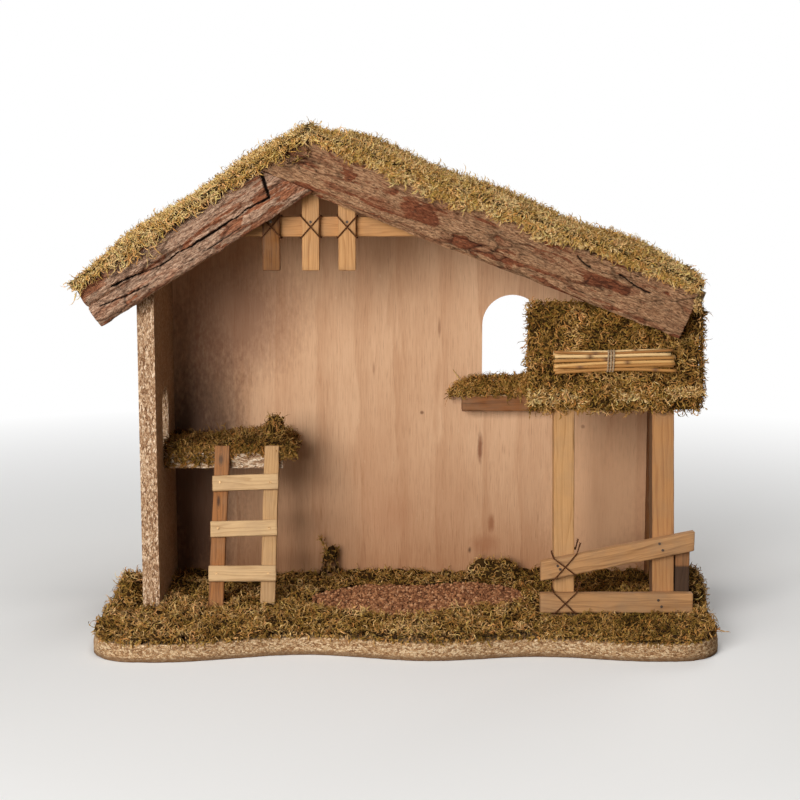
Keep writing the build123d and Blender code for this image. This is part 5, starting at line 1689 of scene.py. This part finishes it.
yard_mat = moss_mat("yard_moss_mat", yard_solids, (*ground_low[:2], ground_high[2]), *FROM_ABOVE,
                    (ground_high - ground_low)[:2] + 2, lump=1.5, seed=11, dome_size=12.0, sink=2.3,
                    limit=low_by_the_fence, stands_for=yard_solids)
rng = np.random.default_rng(91)
yard_parts = {"front": (-120, -50, 6600), "near": (-50, -10, 6600), "middle": (-10, 40, 6600),
              "back": (40, 120, 6400)}
for part, (first, last, amount) in yard_parts.items():
    spot, ups = roots_on(yard_mat, amount, rng, between(first, last))
    lengths = strand_lengths(rng, 0.75, 1.8, amount)
    # Painted shade: strands towards the right and the back are darker.
    shade = np.interp(spot[:, 0], (80, 140), (0, 0.2)) + np.interp(spot[:, 1], (20, 60), (0, 0.12))
    flows = random_flow(ups, rng, (0, -0.2, 0))
    tones = strand_tones(spot, rng, yard_mat.dome(spot)) - shade
    strands("yard_moss_" + part, spot, ups, flows, lengths, 1.08, yard_moss, 92 + abs(first), tones,
            lift=(0.15, 0.7), curl=4.6, droop=0.15)
print("yard mat faces", len(yard_mat.faces))

# %% [markdown]
# The mound at the right rim bulges past the edge of the base, where a net dropped from above can't follow
# it. A heap of rings and spokes is laid over it instead, heaped and covered like the rest.

# %% Heap at the right rim
RINGS, SPOKES, BASE_TOP = 16, 56, 12.2
heap_middle, heap_reach = (211.5, 22), (12.0, 32.0, 22.5)
angles = np.linspace(0, 2 * math.pi, SPOKES, endpoint=False)
ring, spoke = np.meshgrid(np.linspace(0.02, 1, RINGS), angles, indexing="ij")
heap = np.stack((heap_middle[0] + heap_reach[0] * ring * np.cos(spoke),
                 heap_middle[1] + heap_reach[1] * ring * np.sin(spoke),
                 BASE_TOP + heap_reach[2] * np.sqrt(1 - ring ** 2.8)), -1).reshape(-1, 3)


def heap_dome(points):
    """How high points stand on their cushion of the heap."""
    return cushions(points, 11.0, 51)


heap_out = unit((heap - (*heap_middle, 8)) / np.array(heap_reach) ** 2)
heap += heap_out * ((heap_dome(heap) - 0.5) * 3.0)[:, None]
heap[:, 2] = np.maximum(heap[:, 2], BASE_TOP)
number = np.arange(RINGS * SPOKES).reshape(RINGS, SPOKES)
heap_mat = Mat(heap, net_faces(np.column_stack((number, number[:, :1]))), heap_dome)
bed_piece("yard_moss_heap", heap, heap_mat.faces, heap_dome(heap))
cover("yard_moss_heap_strands", heap_mat, 1500, rng, yard_moss, 96, pull=(0.2, -0.3, -0.3), spread=0.75,
      least=1.8, lift=(0.1, 0.5))
print("heap faces", len(heap_mat.faces))

# %% Moss over the rim of the base
count = 3400
pick = rng.integers(0, len(base_ring), count)
rim_way = np.column_stack((outwards[pick], np.zeros(count)))
spot = np.column_stack((base_ring[pick], rng.uniform(12.4, 15.0, count)))
spot += rim_way * rng.uniform(-4.5, -0.6, (count, 1))
rim_side = np.column_stack((-rim_way[:, 1], rim_way[:, 0], np.zeros(count)))
spot += rim_side * rng.uniform(-0.75, 0.75, (count, 1))
rag = 0.5 + 0.5 * lumps(spot, (11, 11, 60), 17)
keep = (spot[:, 1] < 88) & (rng.uniform(0, 1, count) < 0.25 + rag)
spot, rim_way, rag = spot[keep], rim_way[keep], rag[keep]
ups = unit(rim_way * 0.7 + (0, 0, 0.7) + rng.normal(0, 0.15, spot.shape))
flows = unit(rim_way + (0, 0, -0.25) + rng.normal(0, 0.55, spot.shape))
lengths = np.clip(rng.gamma(6.0, 0.6, len(spot)) * (0.6 + 0.7 * rag) + 1.2, 1.5, 6.5)
lengths = lengths * np.where(np.abs(spot[:, 0]) > 202, 0.55, 1.0)
strands("yard_moss_rim", spot, ups, flows, lengths, 1.1, yard_moss, 97, strand_tones(spot, rng), lift=(0.0, 0.4),
        curl=4.2, droop=0.7)
print("rim strands", len(spot))

# %% Sprig against the panel
count = 130
share = rng.uniform(0, 1, count)
tuft_low, tuft_high = box_mm("moss_tuft")
tuft_middle = (tuft_low + tuft_high) / 2
spot = np.column_stack((tuft_middle[0] - 7 * share ** 2, tuft_middle[1] - 2 + rng.normal(0, 0.5, count),
                        tuft_low[2] + 2 + 27 * share))
ups = unit(rng.normal(size=(count, 3)) * (1, 0.6, 0.3) + (0, -0.6, 0))
flows = unit(ups * 0.7 + np.array((-0.35, -0.1, 1.0)) + rng.normal(0, 0.2, (count, 3)))
lengths = rng.uniform(3, 6, count)
strands("yard_moss_sprig", spot, ups, flows, lengths, 1.1, yard_moss, 98, strand_tones(spot, rng), curl=1.6,
        droop=0.1, lift=(0.0, 0.3))
print("sprig strands", count)

# %% [markdown]
# ## Moss on the shelf, the loft and the sill
# The shelf holds a thin layer with a tuft near its free end, and the moss hangs over the front. The loft front
# is covered from the roof down to the edge of its floor, where the moss curls over it; its two ends are
# covered as well, because they show from the sides. The sill carries a small heap.


# %% Hanging lips
def lip_roots(x_range, y_range, top, profile, ragged, tuft, noise_seed, count, rng):
    """Roots of a lip that hangs below a level; profile gives the hang at places along X."""
    spot = np.column_stack((rng.uniform(*x_range, count), rng.uniform(*y_range, count), np.zeros(count)))
    deep = np.interp(spot[:, 0], *zip(*profile))
    uneven = 1 + ragged * smooth_noise(spot, (tuft, 60, 60), noise_seed)
    spot[:, 2] = top - rng.uniform(0, 1, count) * deep * uneven
    return spot


print("lip helper ready")

# %% Shelf moss
shelf_low, shelf_high = box_mm("shelf_moss")
shelf_size = shelf_high - shelf_low
top_mat = moss_mat("shelf_moss_mat", "shelf_moss", (*shelf_low[:2], shelf_high[2]), *FROM_ABOVE,
                   shelf_size[:2], step=1.5, seed=21, dome_size=10.0, sink=4.0, stands_for=("shelf_moss",))
front_mat = moss_mat("shelf_moss_front_mat", "shelf_moss", shelf_low, *FROM_FRONT, shelf_size[[0, 2]],
                     step=1.5, lump=0.5, seed=22, sink=2.0)
rng = np.random.default_rng(101)
cover("shelf_moss_top", top_mat, 3400, rng, shelf_moss, 102, pull=(0.3, -0.4, 0), spread=0.8, lift=(0.1, 0.8))
count = 1700
shelf_hang = ((-172, 15), (-150, 14), (-132, 11), (-118, 5), (-104, 6), (-92, 10), (-80, 8))
lip = lip_roots((shelf_low[0], shelf_high[0] - 2), (26.0, 30.5), 127, shelf_hang, 0.4, 12, 103, count, rng)
ups = leaning((0.0, -1.0, 0.4), 0.2, count, rng)
flows = leaning((0.1, -0.2, -0.6), 0.6, count, rng)
lengths = strand_lengths(rng, 0.65, 1.5, count)
strands("shelf_moss_lip", lip, ups, flows, lengths, 1.2, shelf_moss, 104, strand_tones(lip, rng), droop=0.5,
        curl=4.2, lift=(0.1, 0.5))
print("shelf mats", len(top_mat.faces), len(front_mat.faces))

# %% Loft moss
loft_low, loft_high = box_mm("loft_moss")
loft_size = loft_high - loft_low
loft_mat = moss_mat("loft_moss_mat", "loft_moss", loft_low, *FROM_FRONT, loft_size[[0, 2]], step=1.5,
                    lump=1.4, seed=31, dome_size=8.0, sink=3.0, stands_for=("loft_moss",))
rng = np.random.default_rng(111)
cover("loft_moss_front", loft_mat, 6800, rng, loft_moss, 112, pull=(0, 0, -0.5), spread=0.75, lift=(0.1, 0.7),
      curl=4.6)
loft_ends = {"left": (loft_low[0], loft_high[1], FRONT, RIGHT, 114),
             "right": (loft_high[0], loft_low[1], BACK, LEFT, 117)}
for end, (end_x, start_y, across, look, seed) in loft_ends.items():
    end_mat = moss_mat("loft_moss_" + end + "_mat", "loft_moss", (end_x, start_y, loft_low[2]), across, UP, look,
                       (loft_size[1] + 1.5, loft_size[2]), step=1.5, lump=0.5, seed=32, sink=1.0)
    cover("loft_moss_" + end, end_mat, 900, rng, loft_moss, seed, pull=(0, -0.5, -0.2), spread=0.65, width=1.2)
print("loft mat faces", len(loft_mat.faces))

# %% Crest and lip of the loft moss
count = 420
spot = np.column_stack((rng.uniform(loft_low[0], 152, count), rng.uniform(-12, 2.5, count),
                        np.full(count, loft_high[2] - 0.6)))
ups = leaning((0.0, -0.3, 1.0), 0.2, count, rng)
grow("loft_moss_crest", spot, ups, rng, loft_moss, 116, 0.7, pull=(0, 0.2, 0), spread=0.65, least=1.5, width=1.2,
     lift=(0.0, 0.4))
count = 2100
loft_hang = ((90, 9), (128, 9), (135, 13), (146, 13), (156, 8), (168, 6.5), (188, 6.0), (194, 2.0))
lip = lip_roots((loft_low[0] - 1, loft_high[0]), (-21.5, -16.5), 173.5, loft_hang, 0.35, 9, 115, count, rng)
ups = leaning((0.0, -1.0, 0.2), 0.2, count, rng)
flows = leaning((0.0, -0.2, -0.1), 0.8, count, rng)
lengths = strand_lengths(rng, 0.6, 2, count)
strands("loft_moss_lip", lip, ups, flows, lengths, 1.08, roof_moss, 113, strand_tones(lip, rng, 0.85, (5, 5, 5)),
        droop=0.35)
print("loft crest and lip done")

# %% Sill moss
sill_low, sill_high = box_mm("sill_moss")
sill_size, sill_top = sill_high - sill_low, box_mm("window_sill")[1][2]
top_mat = moss_mat("sill_moss_mat", "sill_moss", (*sill_low[:2], sill_high[2]), *FROM_ABOVE, sill_size[:2],
                   step=1.2, lump=0.7, seed=41, stands_for=("sill_moss",))
front_mat = moss_mat("sill_moss_front_mat", "sill_moss", (*sill_low[:2], sill_top + 0.6), *FROM_FRONT,
                     (sill_size[0], sill_high[2] - sill_top), step=1.2, lump=0.7, seed=42)
rng = np.random.default_rng(121)
cover("sill_moss_front", front_mat, 1100, rng, loft_moss, 123, pull=(-0.2, 0, 0.25), width=1.05, droop=0.0)
cover("sill_moss_strands", top_mat, 1300, rng, loft_moss, 122, pull=(-0.2, -0.2, 0), width=1.2, lift=(0.1, 0.7),
      droop=0.1)
print("sill mats", len(top_mat.faces), len(front_mat.faces))

# %% [markdown]
# ## Floor and light
# The stage is a plain pale floor under a white world. A soft key light stands in front on the left, as in
# the photograph, where the laths throw their shadows to the right and the left corner is dark; a wide light
# above lifts the moss, and a weak one behind keeps the back readable. The floor keeps the shadow near the
# stable and fades to the white world further out. What the camera sees of both is paler than what lights
# the stable, so that the hollows stay dark.

# %% Floor
FLOOR_REACH, FLOOR_SIDES = 9, 96
floor_mesh = bpy.data.meshes.new("floor")
angles = np.linspace(0, 2 * math.pi, FLOOR_SIDES, endpoint=False)
rim = [(FLOOR_REACH * math.cos(a), FLOOR_REACH * math.sin(a), 0.0) for a in angles]
floor_mesh.from_pydata(rim, [], [tuple(range(FLOOR_SIDES))])
floor = bpy.data.objects.new("floor", floor_mesh)
scene.collection.objects.link(floor)
floor_finish, tree, shader = finish("pale_floor", 0.9, 0.1)
away = vector_node(tree, "LENGTH", add(tree, "TexCoord").outputs["Object"], output="Value")
seen = add(tree, "LightPath").outputs
shown = math_node(tree, "MAXIMUM", seen["Is Camera Ray"], seen["Is Glossy Ray"])
join(tree, blend(tree, shown, (0.3, 0.25, 0.2, 1.0), (0.86, 0.85, 0.83, 1.0)), shader["Base Color"])
fade = times(tree, span(tree, away, 0.35, 1.1), shown)
white = add(tree, "Emission", {"Color": WHITE, "Strength": 1.0})
principled, output = tree.nodes["Principled BSDF"], tree.nodes["Material Output"]
mixed = add(tree, "MixShader", {0: fade, 1: principled.outputs[0], 2: white.outputs[0]})
join(tree, mixed.outputs[0], output.inputs[0])
floor_mesh.materials.append(floor_finish)
print("floor", len(rim), "sides")

# %% World and lamps
world = bpy.data.worlds.new("white_room")
world.use_nodes = True
scene.world = world
tree = world.node_tree
tree.nodes.clear()
seen = add(tree, "LightPath").outputs
mirrored = math_node(tree, "MAXIMUM", seen["Is Glossy Ray"], seen["Is Transmission Ray"])
shown = math_node(tree, "MAXIMUM", seen["Is Camera Ray"], mirrored)
sky = add(tree, "Background", {"Color": WHITE, "Strength": span(tree, shown, 0.0, 1.0, 0.06, 1.0)})
join(tree, sky.outputs[0], add(tree, "OutputWorld").inputs[0])


def softbox(name, place, aim, size, power):
    """A square soft light that faces a point."""
    data = bpy.data.lights.new(name, "AREA")
    data.shape = "SQUARE"
    data.size = size
    data.energy = power
    lamp = bpy.data.objects.new(name, data)
    lamp.location = place
    lamp.rotation_euler = (Vector(aim) - Vector(place)).to_track_quat("-Z", "Y").to_euler()
    scene.collection.objects.link(lamp)


softbox("key", (-0.8, -1.65, 0.66), (0, 0, 0.16), 1.0, 40.0)
softbox("above", (0.0, -0.3, 1.75), (0, 0, 0.2), 1.0, 12.0)
softbox("behind", (0.9, 1.5, 1.0), (0, 0, 0.18), 0.9, 10.0)
print("floor, world and three lamps")

# %% [markdown]
# ## End
# The last cell prints that the build is done. The dressed stable has to stay within the imported one, apart
# from a little moss.

# %% End of the build
print("build done")
